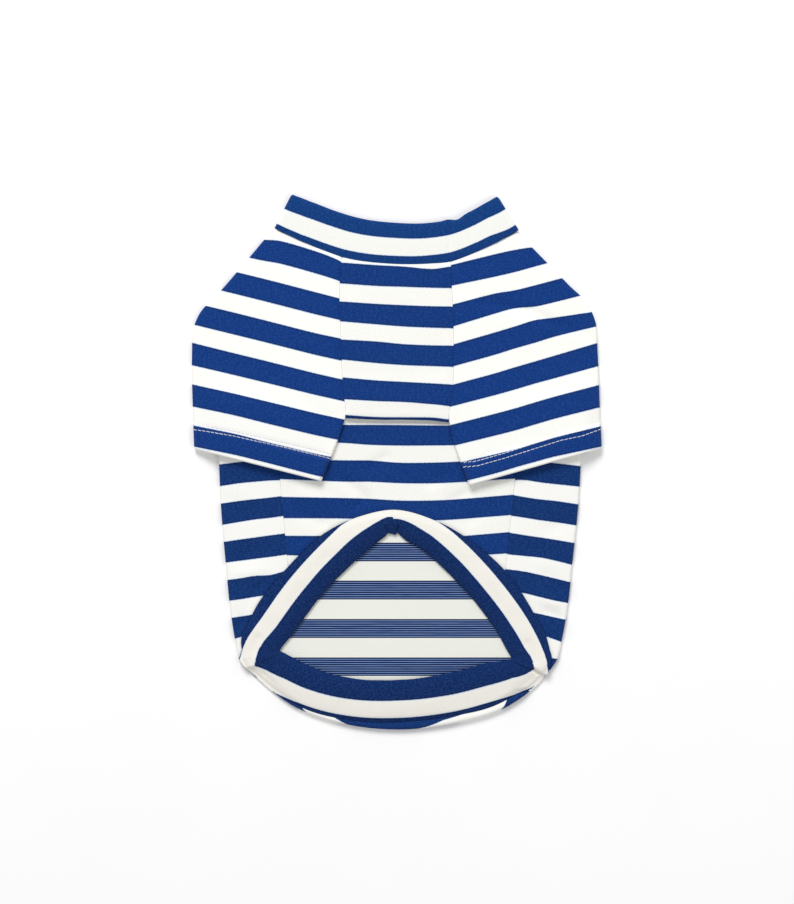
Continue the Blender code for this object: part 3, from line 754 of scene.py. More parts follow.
# the bottom layer, with its sides and its lower edge turned round to the belly side
backPanel = {
    "seamTop": {"left": (-76.0, 30.3), "right": (78.0, 32.3)},
    "lines": {
        "left": [
            (226, 240, 255, 270, 280),
            (-0.47, 445, 443.5, 442, 440.5, 439.5), (0, 463.5, 461.8, 460.5, 459, 458),
            (0.53, 484.7, 482.6, 481.2, 480.0, 479.8), (1, 502.7, 500.7, 499.0, 497.4, 496.1),
            (1.53, 523.7, 521.3, 518.9, 517.3, 515.9), (2, 541.4, 539.3, 537.3, 535.2, 533.9),
            (2.53, 562.0, 560.3, 558.3, 556.4, 555.0), (3, 580.0, 578.2, 575.6, 575.1, 572.3),
            (3.53, 600.5, 598.8, 596.3, 594, 592), (4, 618.5, 616.5, 614, 611, 609),
            (4.53, 641.0, 636.5, 633, 630, 628), (5, 664, 662, 660, 658, 656),
        ],
        "right": [
            (512, 525, 540, 555, 568),
            (-0.47, 441, 441.5, 443, 445, 446.5), (0, 459, 459.5, 461, 463, 464.5),
            (0.53, 479.8, 479.5, 481.9, 483.6, 484.9), (1, 494.5, 497.0, 499.2, 500.6, 502.6),
            (1.53, 515.3, 517.2, 519.7, 521.6, 523.6), (2, 532.9, 535.1, 537.3, 539.6, 541.8),
            (2.53, 554.3, 555.7, 556.9, 560.0, 563.3), (3, 569.6, 571.4, 574.8, 578.3, 581.5),
            (3.53, 590.5, 592.8, 596.5, 600.1, 602.5), (4, 609, 611, 613.9, 617.3, 620),
            (4.53, 629, 631, 634, 639.0, 644), (5, 650, 653, 656, 658.5, 660),
            (5.53, 672, 674, 677, 680, 682),
        ],
    },
    # photo y and the stripe count there, blue from each whole number to the half
    "courses": [
        (234.2, -6.0), (465.8, 0.0), (504.4, 1.0), (543.0, 2.0), (581.0, 3.0), (619.5, 4.0),
        (658.0, 5.0), (677.0, 5.5), (692.0, 6.0), (708.0, 6.5), (722.5, 7.0), (737.0, 7.5), (752.0, 8.0),
    ],
    "creases": [
        (226, 500, 250, 512, 7, -0.6), (232, 560, 262, 548, 6, -0.8), (255, 590, 275, 582, 5, -0.9),
        (240, 574, 262, 570, 5, 0.5), (570, 520, 552, 530, 7, -0.6), (560, 590, 545, 576, 6, -0.8),
        (548, 612, 560, 618, 5, -0.8), (556, 604, 540, 598, 5, 0.5), (228, 610, 240, 625, 6, -0.6),
        (236, 632, 244, 622, 5, -0.6), (530, 545, 548, 552, 6, -0.6),
    ],
    # photo x, how many pixels the stripes of the turned-up strip are pulled down there
    "turnedUpShift": [(278, 5.0), (303, 3.7), (349, 2.8), (400, 6.0), (448, 8.3), (504, 1.0),
                      (527, 0.0)],
    "creaseDepth": 1.5,
    "sideWave": (0.22, 26, 6.1),
    "innerWave": (0.35, 30, 8.8),
    "sideDent": 0.5,
    "thinWidth": 1.5,        # a turned-up strip narrower than this thins toward the outline
    "thinEdge": 0.25,
    "sideStations": 40,
    "perStation": 14,        # sections of the turned-up edge for each station of the hem band
    # hem stations between which the corner's turned-up edge is plain white
    "whiteCorners": (14.1, 12.45, 7.22, 6.66),
    "cell": 4.0,
    "cellShift": 0.37,
    "cellCounts": (28, 41),
    "openingMiddle": (1, -97),
    "openingHalf": (52, 30),
}


def backStripe(y):
    return readTable(backPanel["courses"], toPhoto(0, y)[1])


def turnedStripe(zone, flat, unfolded):
    # the stripe count on the cloth that is turned round to the belly side
    if zone in backPanel["lines"]:
        return stripeAt(backPanel["lines"][zone], flat.x, flat.y)
    if zone == "corner":
        return 0.75              # in the white
    px, py = toPhoto(unfolded.x, unfolded.y)
    return readTable(backPanel["courses"], py - readTable(backPanel["turnedUpShift"], px))


def stationPoints(outline, seam, zone):
    # from the seam outward over the fold to its tip, then under it to the flat back layer
    radius = cloth["foldRadius"]
    width = (outline - seam).length
    run = (outline - seam) / width
    narrow = 1 - ease(width / backPanel["thinWidth"])
    first = 90.0
    if width < radius:
        first = math.degrees(math.acos(1 - width / radius)) - 26 * narrow

    def roundFold(angle):
        turn = math.radians(angle)
        return width - radius + radius * math.cos(turn), radius + radius * math.sin(turn)

    level = roundFold(first)[1]
    over = [(share * max(0.0, width - radius), level)
            for share in (0, 0.04, 0.1, 0.2, 0.32, 0.45, 0.6, 0.75, 0.88, 1)]
    over += [(max(0.0, place), height) for place, height in map(roundFold, stepsBetween(first, 0, 6)[1:])]
    under = [roundFold(angle) for angle in (0, -20, -40, -60, -75, -90)] + [(width - radius - 4, 0.0)]
    line = []
    for place, height in over:
        flat = seam + run * place
        # where the hem band reaches the outline, the wall thins toward its edge
        thickness = mix(cloth["layer"], backPanel["thinEdge"], narrow * ease(height / radius))
        thickness = min(thickness, pinchedLayer(place, thickness))
        wave = ripple(flat.x, flat.y, backPanel["sideWave"]) - backPanel["sideWave"][0]
        wave += backPanel["creaseDepth"] * troughs(backPanel["creases"], flat.x, flat.y)
        height += calm(place, 5) * calm(width - place) * wave - dent(backPanel["sideDent"], place)
        unfolded = outline + run * (outline - flat).length
        line.append((flat.x, flat.y, height, flat.x, turnedStripe(zone, flat, unfolded), thickness))
    below = []
    for place, height in under:
        flat = seam + run * place
        thickness = mix(cloth["layer"], backPanel["thinEdge"], narrow * ease(height / radius))
        below.append((flat.x, flat.y, height, flat.x, backStripe(flat.y), thickness))
    return line, below


def armholeY(side, x):
    innerX, innerY, outerX, outerY = sleeves[side]["stations"][sleeves["armholeRow"]]
    if abs(x) < abs(innerX):
        return innerY
    return mix(innerY, outerY, (x - innerX) / (outerX - innerX))


def sideStations(side):
    foot = leftFoot if side == "left" else rightFoot
    gap = cloth["seamGap"] / 2 * (1 if side == "right" else -1)
    foldTop = armholeY(side, sideFoldX(side, 40))
    footY = lowerOutline[-1 if side == "left" else 0][1]
    seamTop = Vector(backPanel["seamTop"][side])
    seamFoot = Vector(hemAt(foot)[:2])
    stations = []
    for share in stepsBetween(0, 1, backPanel["sideStations"])[:-1]:
        foldY = mix(foldTop, footY, share)
        outline = Vector((sideFoldX(side, foldY), foldY))
        stations.append((outline, mix(seamTop, seamFoot, share) + Vector((gap, 0))))
    return stations


def backRaglan(side):
    points = []
    for row in stepsBetween(6.5, 0, 44):
        inner, outer, width = sleeveLine(side, row)
        seam = mix(*sleeves["backSeam"], row / sleeves["armholeRow"]) - 1.5 * cloth["seamGap"]
        flat = inner + (outer - inner) / width * seam
        points.append(Vector((flat.x, nearNeck(flat.x, flat.y, row))))
    return points


def makeBackPanel():
    perStation, sideCount = backPanel["perStation"], backPanel["sideStations"]
    stations = sideStations("left")
    lower = stepsBetween(leftFoot, rightFoot, (leftFoot - rightFoot) * perStation)
    stations += [(Vector(outlineAt(place - rightFoot)), hemSeam(place, False)) for place in lower]
    stations += sideStations("right")[::-1]
    starts = [sideCount + round((leftFoot - place) * perStation) for place in backPanel["whiteCorners"]]
    starts = [0] + starts + [len(stations) - 1]
    patches = []
    under = [None] * len(stations)
    for zone, start, end in zip(("left", "corner", "turnedUp", "corner", "right"), starts, starts[1:]):
        rows = []
        for number in range(start, end + 1):
            over, under[number] = stationPoints(*stations[number], zone)
            rows.append(over)
        patches.append((rows, False))
    patches.append((under, False))

    right = backRaglan("right")
    left = backRaglan("left")
    collar = [Vector((x, neckSeamY(x) - cloth["seamGap"])) for x in stepsBetween(right[-1].x, left[-1].x, 40)]
    outline = [Vector(row[-1][:2]) for row in under]
    outline += [Vector(under[-1][-2][:2])] + right + collar[1:-1] + left[::-1] + [Vector(under[0][-2][:2])]
    return clothPiece("backPanel", patches, flat=outline[::-1])


def cutFlatFace(work, courses, weights):
    # the flat back layer is one face until here: it is cut into cells and given its soft waves
    face = max(work.faces, key=lambda each: len(each.verts))
    geometry = [face] + list(face.edges) + list(face.verts)
    weight = face.verts[0][weights][0]
    for axis, count in enumerate(backPanel["cellCounts"]):
        direction = Vector((1 - axis, axis, 0))
        for index in range(-count, count + 1):
            point = direction * (index * backPanel["cell"] + backPanel["cellShift"]) * mm
            cut = bmesh.ops.bisect_plane(work, geom=geometry, dist=1e-7, plane_co=point,
                                         plane_no=direction)
            geometry = cut["geom"]
    middle, half = backPanel["openingMiddle"], backPanel["openingHalf"]
    for item in geometry:
        if isinstance(item, bmesh.types.BMFace):
            for loop in item.loops:
                place = loop.vert.co / mm
                loop[courses].uv = (place.x / cloth["repeat"], backStripe(place.y))
                loop.vert[weights][0] = weight
    for item in geometry:
        if isinstance(item, bmesh.types.BMVert):
            x, y = item.co.x / mm, item.co.y / mm
            inOpening = ease(1.6 - math.hypot((x - middle[0]) / half[0], (y - middle[1]) / half[1]) * 1.3)
            height = 0.5 * backPanel["innerWave"][0] + ripple(x, y, backPanel["innerWave"])
            item.co.z = height * inOpening * mm


# the chest and belly, with the tuck across them
bellyPanel = {
    "tuckEdge": 26.8,
    "tuckDeep": 36.0,
    "armhole": 20.0,
    "chestHalf": 33.3,
    "tuckEnds": (-31.7, 32.3),
    "sunk": 1.45,            # how far the belly's cloth sinks in front of the tuck
    "sunkPlace": (25.9, 2.5),    # y of the deepest line and half width
    "chestLines": [
        (347, 376, 404, 432, 447), (0, 262.9, 265.0, 266.5, 268.9, 267.0),
        (0.53, 283.4, 285.5, 286.4, 287.3, 287.6), (1, 301.9, 303.8, 305.2, 306.2, 306.4),
        (1.53, 321.4, 323.9, 326.1, 327.3, 327.7), (2, 339.8, 341.4, 344.1, 345.3, 345.5),
        (2.53, 359.6, 362.6, 364.7, 365.7, 366.2), (3, 377.7, 380.3, 381.8, 383.3, 384.2),
        (3.53, 399.0, 400.7, 401.7, 403.9, 405.7), (4.0, 414.9, 416.8, 417.1, 417.2, 418.9),
        (4.5, 435, 437, 438, 438, 440),
    ],
    "bellyLines": [
        (290, 345, 370, 400, 430, 455, 505),
        (4.78, 418, 418, 418, 418, 418, 418, 418),
        (5, 423.0, 424.6, 424.6, 424.8, 425.2, 425.4, 424.6),
        (5.53, 440, 442.4, 444.3, 445.0, 444.9, 444.5, 441),
        (6, 459, 460.2, 460.3, 462.6, 462.5, 461.6, 458),
        (6.53, 478.9, 481.2, 481.2, 482.6, 482.8, 481.9, 478.7),
        (7, 496.9, 497.9, 498.7, 500.4, 500.4, 499.3, 495.2),
        (7.53, 517.6, 518, 519, 520.3, 520, 518.9, 515.0),
        (8, 535.7, 536, 536.5, 538.5, 538, 536.5, 532.3),
        (8.53, 554.7, 556, 556, 557, 557, 556, 553.1),
        (9, 573, 574, 574, 576, 576, 575, 570),
    ],
    # x, how far the tuck's folded edge sags toward the neck (+) or the tail there
    "tuckSag": [(-33, 0.9), (-22, 0.5), (-8, 0.1), (12, -0.1), (22, -0.5), (33, -1.9)],
    "chestCreases": [
        (436, 262, 430, 280, 6, -0.7), (352, 300, 356, 350, 7, 0.3), (400, 262, 404, 300, 9, 0.3),
        (442, 330, 438, 372, 6, -0.3), (372, 396, 420, 400, 7, 0.4),
    ],
    "bellyCreases": [
        (338, 476, 362, 494, 6, -0.9), (366, 470, 384, 458, 6, -0.7), (350, 510, 366, 500, 5, -0.7),
        (430, 484, 448, 474, 6, -0.7), (300, 512, 322, 524, 7, -0.7), (470, 520, 492, 508, 7, -0.7),
        (452, 500, 470, 492, 5, -0.6), (300, 496, 330, 503, 6, 0.5),
    ],
    "creaseDepth": 1.4,
    "bellyWave": (0.25, 30, 2.9),
    "tuckWave": (0.25, 14, 5.5),
    "chestWave": (0.35, 28, 1.2),
    "hemDent": (0.55, 1.4),      # along the arch: depth, half width
    "sideDent": 0.5,
    "tuckRound": 4.0,            # how far the tuck's folded edge is rounded
    "tuckWider": 1.12,           # the layer below the tuck is wider and reaches in under both sleeves
    "chestColumns": 36,
    "wingColumns": 22,
    "bellyRows": 40,
}


def archSeamPoints():
    start, end = leftFoot, hemRound + rightFoot
    chestStart, chestEnd = start + footToChest, end - footToChest
    places = stepsBetween(start, chestStart, bellyPanel["wingColumns"])[:-1]
    places += stepsBetween(chestStart, chestEnd, bellyPanel["chestColumns"])
    places += stepsBetween(chestEnd, end, bellyPanel["wingColumns"])[1:]
    points = [hemSeam(place, False) for place in places]
    points[0] += Vector((cloth["seamGap"] / 2, cloth["seamGap"] / 2))
    points[-1] += Vector((-cloth["seamGap"] / 2, cloth["seamGap"] / 2))
    return points


def armholeSeamPoints():
    half = bellyPanel["chestHalf"]
    wings, chest = bellyPanel["wingColumns"], bellyPanel["chestColumns"]
    left = backPanel["seamTop"]["left"][0] + cloth["seamGap"] / 2
    right = backPanel["seamTop"]["right"][0] - cloth["seamGap"] / 2
    points = [Vector((x, armholeY("left", x))) for x in stepsBetween(left, -half, wings)[:-1]]
    points += [Vector((x, bellyPanel["armhole"])) for x in stepsBetween(-half, half, chest)]
    return points + [Vector((x, armholeY("right", x))) for x in stepsBetween(half, right, wings)[1:]]


def tuckPath():
    # the tuck from the side: place along Y, height of the cloth's outer face and its stripe count
    small = cloth["layerGap"] / 2
    large = cloth["layer"] + small
    deep = bellyPanel["tuckDeep"] - large
    rounded = bellyPanel["tuckRound"]
    edge = bellyPanel["tuckEdge"] + rounded
    path = [(y, bodyTop) for y in stepsBetween(bellyPanel["armhole"], deep, 14)[1:]]
    path += [(deep + small * math.cos(turn), bodyTop + small + small * math.sin(turn))
             for turn in (math.radians(angle) for angle in (-45, 0, 45))]
    path += [(y, bodyTop + cloth["layerGap"]) for y in stepsBetween(deep, edge, 4)]
    path += [(edge - rounded * math.cos(turn), tuckTop - large + large * math.sin(turn))
             for turn in (math.radians(angle) for angle in (-67.5, -45, -22.5, 0, 22.5, 45, 67.5, 90))]
    lengths = [0.0]
    for before, after in zip(path, path[1:]):
        lengths.append(lengths[-1] + math.dist(before, after))
    tip = lengths[-5]
    belowTip = stripeAt(bellyPanel["bellyLines"], 0, bellyPanel["armhole"])
    return [(y, z, mix(belowTip, 4.0, min(1.0, length / tip))) for (y, z), length in zip(path, lengths)]


def tuckShift(x):
    return ripple(x, 30, bellyPanel["tuckWave"]) + readTable(bellyPanel["tuckSag"], x)


def sinking(x, y):
    centre, halfWidth = bellyPanel["sunkPlace"]
    return bellyPanel["sunk"] * bell(y - centre, halfWidth) * ramp(abs(x), 32, 29)


def bellyRows():
    arch = archSeamPoints()
    armhole = armholeSeamPoints()
    rows = []
    for share in [0, 0.008, 0.02] + stepsBetween(0.04, 1, bellyPanel["bellyRows"]):
        leftEdge = mix(arch[0], armhole[0], share)
        rightEdge = mix(arch[-1], armhole[-1], share)
        row = []
        for start, end in zip(arch, armhole):
            flat = mix(start, end, share)
            fromSeam = (flat - start).length
            fromSide = min((flat - leftEdge).length, (flat - rightEdge).length)
            wave = ripple(flat.x, flat.y, bellyPanel["bellyWave"]) - bellyPanel["bellyWave"][0]
            wave += bellyPanel["creaseDepth"] * troughs(bellyPanel["bellyCreases"], flat.x, flat.y)
            wave *= calm(fromSeam) * calm(fromSide) * ramp(flat.y, 26, 16)
            depth, halfWidth = bellyPanel["hemDent"]
            dip = depth * bell(fromSeam, halfWidth) + dent(bellyPanel["sideDent"], fromSide)
            dip += sinking(flat.x, flat.y)
            row.append((flat.x, flat.y, bodyTop + wave - dip, flat.x,
                        stripeAt(bellyPanel["bellyLines"], flat.x, flat.y),
                        pinchedLayer(min(fromSeam, fromSide))))
        rows.append(row)
    return rows


def tuckRows(across):
    noWing = [None] * bellyPanel["wingColumns"]
    rows = []
    for y, z, stripe in tuckPath():
        folded = ease((z - bodyTop) / 0.4)
        row = []
        for place in across:
            x = place * mix(bellyPanel["tuckWider"], 1.0, folded)
            shiftedY = y + tuckShift(x) * folded
            count = stripe
            if folded == 0:
                count = stripeAt(bellyPanel["bellyLines"], x, y)
            elif z > tuckTop - cloth["layer"] - cloth["layerGap"] / 2:
                count = stripeAt(bellyPanel["chestLines"], x, shiftedY)
            height = z - sinking(x, y) if z < bodyTop + 0.01 else z
            row.append((x, shiftedY, height, x, count, cloth["layer"]))
        rows.append(noWing + row + noWing)
    return rows


def chestRows(across):
    lines = bellyPanel["chestLines"]
    tuckY = tuckPath()[-1][0]
    first = [(x, tuckY + tuckShift(x)) for x in across]
    rows = [[(x, y, tuckTop, x, stripeAt(lines, x, y), cloth["layer"]) for x, y in first]]
    for row in stepsBetween(sleeves["tuckRow"] - 0.22, 0.3, 52) + [0.2, 0.12, 0.06, 0.03, 0]:
        left = sleeveLine("left", row)[0]
        right = sleeveLine("right", row)[0]
        line = []
        for share in stepsBetween(0, 1, bellyPanel["chestColumns"]):
            x = mix(left.x + cloth["seamGap"], right.x - cloth["seamGap"], share)
            y = nearNeck(x, mix(left.y, right.y, share), row)
            fromNeck = neckSeamY(x) - y
            fromSide = min(x - left.x, right.x - x)
            wave = ripple(x, y, bellyPanel["chestWave"]) + troughs(bellyPanel["chestCreases"], x, y)
            wave *= calm(fromSide) * calm(fromNeck, 8) * ramp(y, 30, 38)
            dip = dent(sleeves["seamDent"], fromSide) + dent(sleeves["collarDent"], fromNeck)
            z = chestHeight(y) + wave - dip * ramp(y, 28, 36)
            line.append((x, y, z, x, stripeAt(lines, x, y), pinchedLayer(min(fromSide, fromNeck))))
        rows.append(line)
    return rows


def makeBellyPanel():
    across = stepsBetween(*bellyPanel["tuckEnds"], bellyPanel["chestColumns"])
    below = bellyRows()
    tuck = [below[-1]] + tuckRows(across)
    return clothPiece("bellyPanel", [(below, False), (tuck, False), (chestRows(across), False)])


neck = makeNeckBand()
print("neck band ring folded and standing")
leftSleeve = makeSleeve("left")
rightSleeve = makeSleeve("right")
print("raglan sleeves laid with their turned cuffs")
back = makeBackPanel()
belly = makeBellyPanel()
hem = makeHemBand()
print("back, tucked belly and hem band laid")


# the cover stitch round each cuff: two needle rows, above and below
topstitch = {
    "pitch": 2.7,
    "length": 2.1,
    "thick": 0.5,
    "capInset": 0.18,        # of the thickness
    "raised": 0.1,           # above the cloth's top, and by as much into its underside
    "firstAt": 1.5,          # distance of the first stitch from the sleeve's inner edge
    "endsLeft": 2.2,         # what both ends of a row leave bare
}


def oneStitch():
    # a dash of thread, its two ends inset so that they catch the light as cut yarn does
    bpy.ops.mesh.primitive_cylinder_add(vertices=6, radius=topstitch["thick"] / 2 * mm,
                                        depth=topstitch["length"] * mm, end_fill_type="NGON")
    stitch = bpy.context.object
    bpy.ops.object.mode_set(mode="EDIT")
    bpy.ops.mesh.select_mode(type="FACE")
    bpy.ops.mesh.select_all(action="DESELECT")
    bpy.ops.object.mode_set(mode="OBJECT")
    for face in stitch.data.polygons:
        face.select = abs(face.normal.z) > 0.9
    bpy.ops.object.mode_set(mode="EDIT")
    bpy.ops.mesh.inset(thickness=topstitch["thick"] * topstitch["capInset"] * mm)
    bpy.ops.object.mode_set(mode="OBJECT")
    return stitch


def stitchRow(side, place, needle):
    # the row of the sleeve on which a needle's stitch falls, found step by step
    row = 7.5
    for step in range(5):
        fromCuff = readTable(sleeves[side]["stitchLine"], place / sleeveLine(side, row)[2])
        fromCuff += needle * sleeves["rowApart"]
        row += (cuffDistance(side, row) - fromCuff) / cuffDistance(side, sleeves["armholeRow"])
    return row


def makeCuffStitches(side):
    # one dash is modelled, then copied along both needle rows, above and below
    pitch = topstitch["pitch"]
    count = int((sleeveLine(side, 7.5)[2] - topstitch["endsLeft"]) / pitch)
    model = oneStitch()
    copies = []
    for upward in (True, False):
        for needle in (0, 1):
            for index in range(count):
                at = topstitch["firstAt"] + (index + 0.5 * needle) * pitch
                row = stitchRow(side, at, needle)
                start = Vector(sleevePoint(side, row, at - 0.5, upward)[:3])
                end = Vector(sleevePoint(side, row, at + 0.5, upward)[:3])
                stitch = model.copy()
                stitch.data = model.data.copy()
                bpy.context.scene.collection.objects.link(stitch)
                stitch.rotation_mode = "QUATERNION"
                stitch.rotation_quaternion = (end - start).to_track_quat("Z", "Y")
                stitch.location = ((start + end) / 2 + Vector((0, 0, topstitch["raised"]))) * mm
                copies.append(stitch)
    bpy.data.objects.remove(model, do_unlink=True)
    bpy.ops.object.select_all(action="DESELECT")
    for stitch in copies:
        stitch.select_set(True)
    bpy.context.view_layer.objects.active = copies[0]
    bpy.ops.object.join()
    piece = bpy.context.object
    bpy.ops.object.transform_apply(location=True, rotation=True, scale=True)
    bpy.ops.object.shade_smooth_by_angle(angle=math.radians(60))
    piece.name = "cuffStitches" + side.capitalize()
    piece.data.name = piece.name
    return piece


leftStitches = makeCuffStitches("left")
rightStitches = makeCuffStitches("right")
print("cuffs topstitched")


def linear(hexColour):
    channels = [int(hexColour[index:index + 2], 16) / 255 for index in (0, 2, 4)]
    return tuple(c / 12.92 if c <= 0.04045 else ((c + 0.055) / 1.055) ** 2.4 for c in channels) + (1.0,)


def addNode(material, kind, settings=None, inputs=None):
    # adds one node; an input is a value, a node for its first output, or another output socket
    node = material.node_tree.nodes.new("ShaderNode" + kind)
    for name, value in (settings or {}).items():
        setattr(node, name, value)
    for name, value in (inputs or {}).items():
        if isinstance(value, bpy.types.Node):
            value = value.outputs[0]
        if isinstance(value, bpy.types.NodeSocket):
            material.node_tree.links.new(value, node.inputs[name])
        else:
            node.inputs[name].default_value = value
    return node


def setRamp(node, stops):
    ramp = node.color_ramp
    while len(ramp.elements) > 1:
        ramp.elements.remove(ramp.elements[-1])
    ramp.elements[0].position = stops[0][0]
    ramp.elements[0].color = stops[0][1]
    for position, colour in stops[1:]:
        ramp.elements.new(position).color = colour


jersey = {
    "edge": 0.024,           # half a millimetre of darker thread along each blue stripe's edge
    "tooth": 0.012,
    "toothWidth": 1.3,       # a wale is 0.8 mm wide: drawn at 1.3 so that the toothed edge shows
    "loopPitch": 1.3,        # loops are 0.8 mm apart, also drawn coarser so that they show
    "flecks": (1.6, 0.75),   # flecks of paler fibre lie along the courses
    "columns": (0.9, 4.0),   # faint columns of loops cross them
    "columnShare": 0.3,
    # pattern values between which a fleck starts and is full, and its share there
    "inBlue": (0.56, 0.86, 0.14),
    "inWhite": (0.52, 0.86, 0.06),
    "fleckColour": "5A7CBC",
    "tint": "BFD2F0",        # the white next to the blue is tinted by it
    "roughness": 0.85,
    "bumpDepth": 0.12,
}
wrongSideLook = {
    "linePitch": 1.38,
    "lines": 8.5,            # lines in one blue stripe
    "lineHex": "02083A",
    "floatHex": "7592C4",
    "mutedHex": "2E467A",
    "whiteHex": "EAECE4",
    "streakLong": 20.0,      # each line is stronger here and weaker there over this length
    "roughness": 0.9,
    "bumpDepth": 0.144,
}


def perRepeat(size):
    return cloth["repeat"] / size


def newMaterial(name, roughness, sheen):
    material = bpy.data.materials.new(name)
    material.use_nodes = True
    shader = material.node_tree.nodes["Principled BSDF"]
    shader.inputs["Roughness"].default_value = roughness
    shader.inputs["Specular IOR Level"].default_value = 0.06
    shader.inputs["Sheen Weight"].default_value = sheen
    shader.inputs["Sheen Roughness"].default_value = 0.6
    return material, shader


def setColour(material, shader, socket):
    material.node_tree.links.new(socket, shader.inputs["Base Color"])
    return material


def plainKnit(name, roughness, sheen, depth):
    # plain jersey: rows of small loops, soft and matt, along the piece's own courses
    material, shader = newMaterial(name, roughness, sheen)
    courses = addNode(material, "UVMap", {"uv_map": "courses"})
    size = perRepeat(jersey["loopPitch"])
    apart = addNode(material, "Mapping", None, {"Vector": courses, "Scale": (size, size, 1)})
    loops = addNode(material, "TexVoronoi", {"distance": "MINKOWSKI"},
                    {"Vector": apart, "Scale": 1.0, "Randomness": 0.25, "Exponent": 1.4})
    grain = addNode(material, "TexNoise", None,
                    {"Vector": apart, "Scale": 0.5, "Detail": 2.0, "Roughness": 0.6})
    height = addNode(material, "Math", {"operation": "SUBTRACT"}, {0: grain, 1: loops})
    bump = addNode(material, "Bump", None, {"Height": height, "Strength": 0.55, "Distance": depth * mm})
    material.node_tree.links.new(bump.outputs["Normal"], shader.inputs["Normal"])
    return material, shader, courses, addNode(material, "SeparateXYZ", None, {"Vector": courses})


def streaks(material, courses, size, detail, roughness=0.5):
    scale = (perRepeat(size[0]), perRepeat(size[1]), 1)
    axes = addNode(material, "Mapping", None, {"Vector": courses, "Scale": scale})
    return addNode(material, "TexNoise", None,
                   {"Vector": axes, "Scale": 1.0, "Detail": detail, "Roughness": roughness})


def stripedJersey(name, blueHex, navyHex, whiteHex):
    # yarn-dyed cotton jersey, its right side: soft matt, blue mottled by the yarn's lighter fibres
    material, shader, courses, axes = plainKnit(name, jersey["roughness"], 0.04, jersey["bumpDepth"])
    wobble = addNode(material, "TexNoise", {"noise_dimensions": "1D"},
                     {"W": axes, "Scale": perRepeat(jersey["toothWidth"]), "Detail": 1.0})
    tooth = addNode(material, "Math", {"operation": "MULTIPLY_ADD"},
                    {0: wobble, 1: jersey["tooth"], 2: -jersey["tooth"] / 2})
    shifted = addNode(material, "Math", {"operation": "ADD"}, {0: tooth, 1: axes.outputs["Y"]})
    part = addNode(material, "Math", {"operation": "FRACT"}, {0: shifted})
    stripes = addNode(material, "ValToRGB", None, {"Fac": part})
    edge, share = jersey["edge"], cloth["blueShare"]
    blue, navy, white, tint = [linear(each) for each in (blueHex, navyHex, whiteHex, jersey["tint"])]
    setRamp(stripes, [(0.0, navy), (edge, navy), (2 * edge, blue), (share - 2 * edge, blue),
                      (share - edge, navy), (share - 0.002, navy), (share + 0.008, tint),
                      (share + 0.03, white), (0.972, white), (0.990, tint), (0.999, navy)])
    flecks = streaks(material, courses, jersey["flecks"], 2.0, 0.6)
    columns = streaks(material, courses, jersey["columns"], 1.0)
    both = addNode(material, "Math", {"operation": "MULTIPLY_ADD"},
                   {0: columns, 1: jersey["columnShare"], 2: flecks})
    shares = []
    for start, full, most in (jersey["inWhite"], jersey["inBlue"]):
        shares.append(addNode(material, "MapRange", None, {"Value": both, "From Min": start,
                                                           "From Max": full, "To Max": most}))
    onBlue = addNode(material, "Math", {"operation": "LESS_THAN"}, {0: part, 1: share})
    choose = addNode(material, "Mix", {"data_type": "FLOAT"}, {0: onBlue, 2: shares[0], 3: shares[1]})
    mixed = addNode(material, "Mix", {"data_type": "RGBA"},
                    {0: choose, 6: stripes, 7: linear(jersey["fleckColour"])})
    return setColour(material, shader, mixed.outputs[2])


def wrongSideJersey(name):
    # the jersey's wrong side: the blue shows as thin navy lines over paler yarn floats
    look = wrongSideLook
    material, shader, courses, axes = plainKnit(name, look["roughness"], 0.03, look["bumpDepth"])
    part = addNode(material, "Math", {"operation": "FRACT"}, {0: axes.outputs["Y"]})
    thin = addNode(material, "Math", {"operation": "MULTIPLY"}, {0: part, 1: perRepeat(look["linePitch"])})
    lines = addNode(material, "Math", {"operation": "FRACT"}, {0: thin})
    lineColour = addNode(material, "ValToRGB", None, {"Fac": lines})
    navy, paler = linear(look["lineHex"]), linear(look["floatHex"])
    setRamp(lineColour, [(0.0, navy), (0.51, navy), (0.61, paler), (0.86, paler), (1.0, navy)])
    uneven = streaks(material, courses, (look["streakLong"], look["linePitch"]), 3.0)
    weaker = addNode(material, "MapRange", None,
                     {"Value": uneven, "From Min": 0.48, "From Max": 0.70, "To Max": 0.55})
    # the first and the last line of a stripe are always strong
    inner = addNode(material, "ValToRGB", None, {"Fac": part})
    off, on = (0, 0, 0, 1), (1, 1, 1, 1)
    end = look["lines"] / perRepeat(look["linePitch"])
    setRamp(inner, [(0.0, off), (0.03, off), (0.08, on), (end - 0.08, on), (end - 0.03, off)])
    strength = addNode(material, "Math", {"operation": "MULTIPLY"}, {0: weaker, 1: inner})
    muted = addNode(material, "Mix", {"data_type": "RGBA"},
                    {0: strength, 6: lineColour, 7: linear(look["mutedHex"])})
    band = addNode(material, "ValToRGB", None, {"Fac": part})
    setRamp(band, [(0.0, off), (end - 0.004, off), (end + 0.004, on), (0.994, on), (1.0, off)])
    whole = addNode(material, "Mix", {"data_type": "RGBA"},
                    {0: band, 6: muted.outputs[2], 7: linear(look["whiteHex"])})
    return setColour(material, shader, whole.outputs[2])


def mottled(name, roughness, sheen, size, stops):
    # a plain surface whose tone varies softly over the size given
    material, shader = newMaterial(name, roughness, sheen)
    position = addNode(material, "TexCoord")
    grain = addNode(material, "TexNoise", None,
                    {"Vector": position.outputs["Object"], "Scale": 1 / (size * mm), "Detail": 2.0})
    tone = addNode(material, "ValToRGB", None, {"Fac": grain})
    setRamp(tone, [(place, linear(hexColour)) for place, hexColour in stops])
    return setColour(material, shader, tone.outputs["Color"])


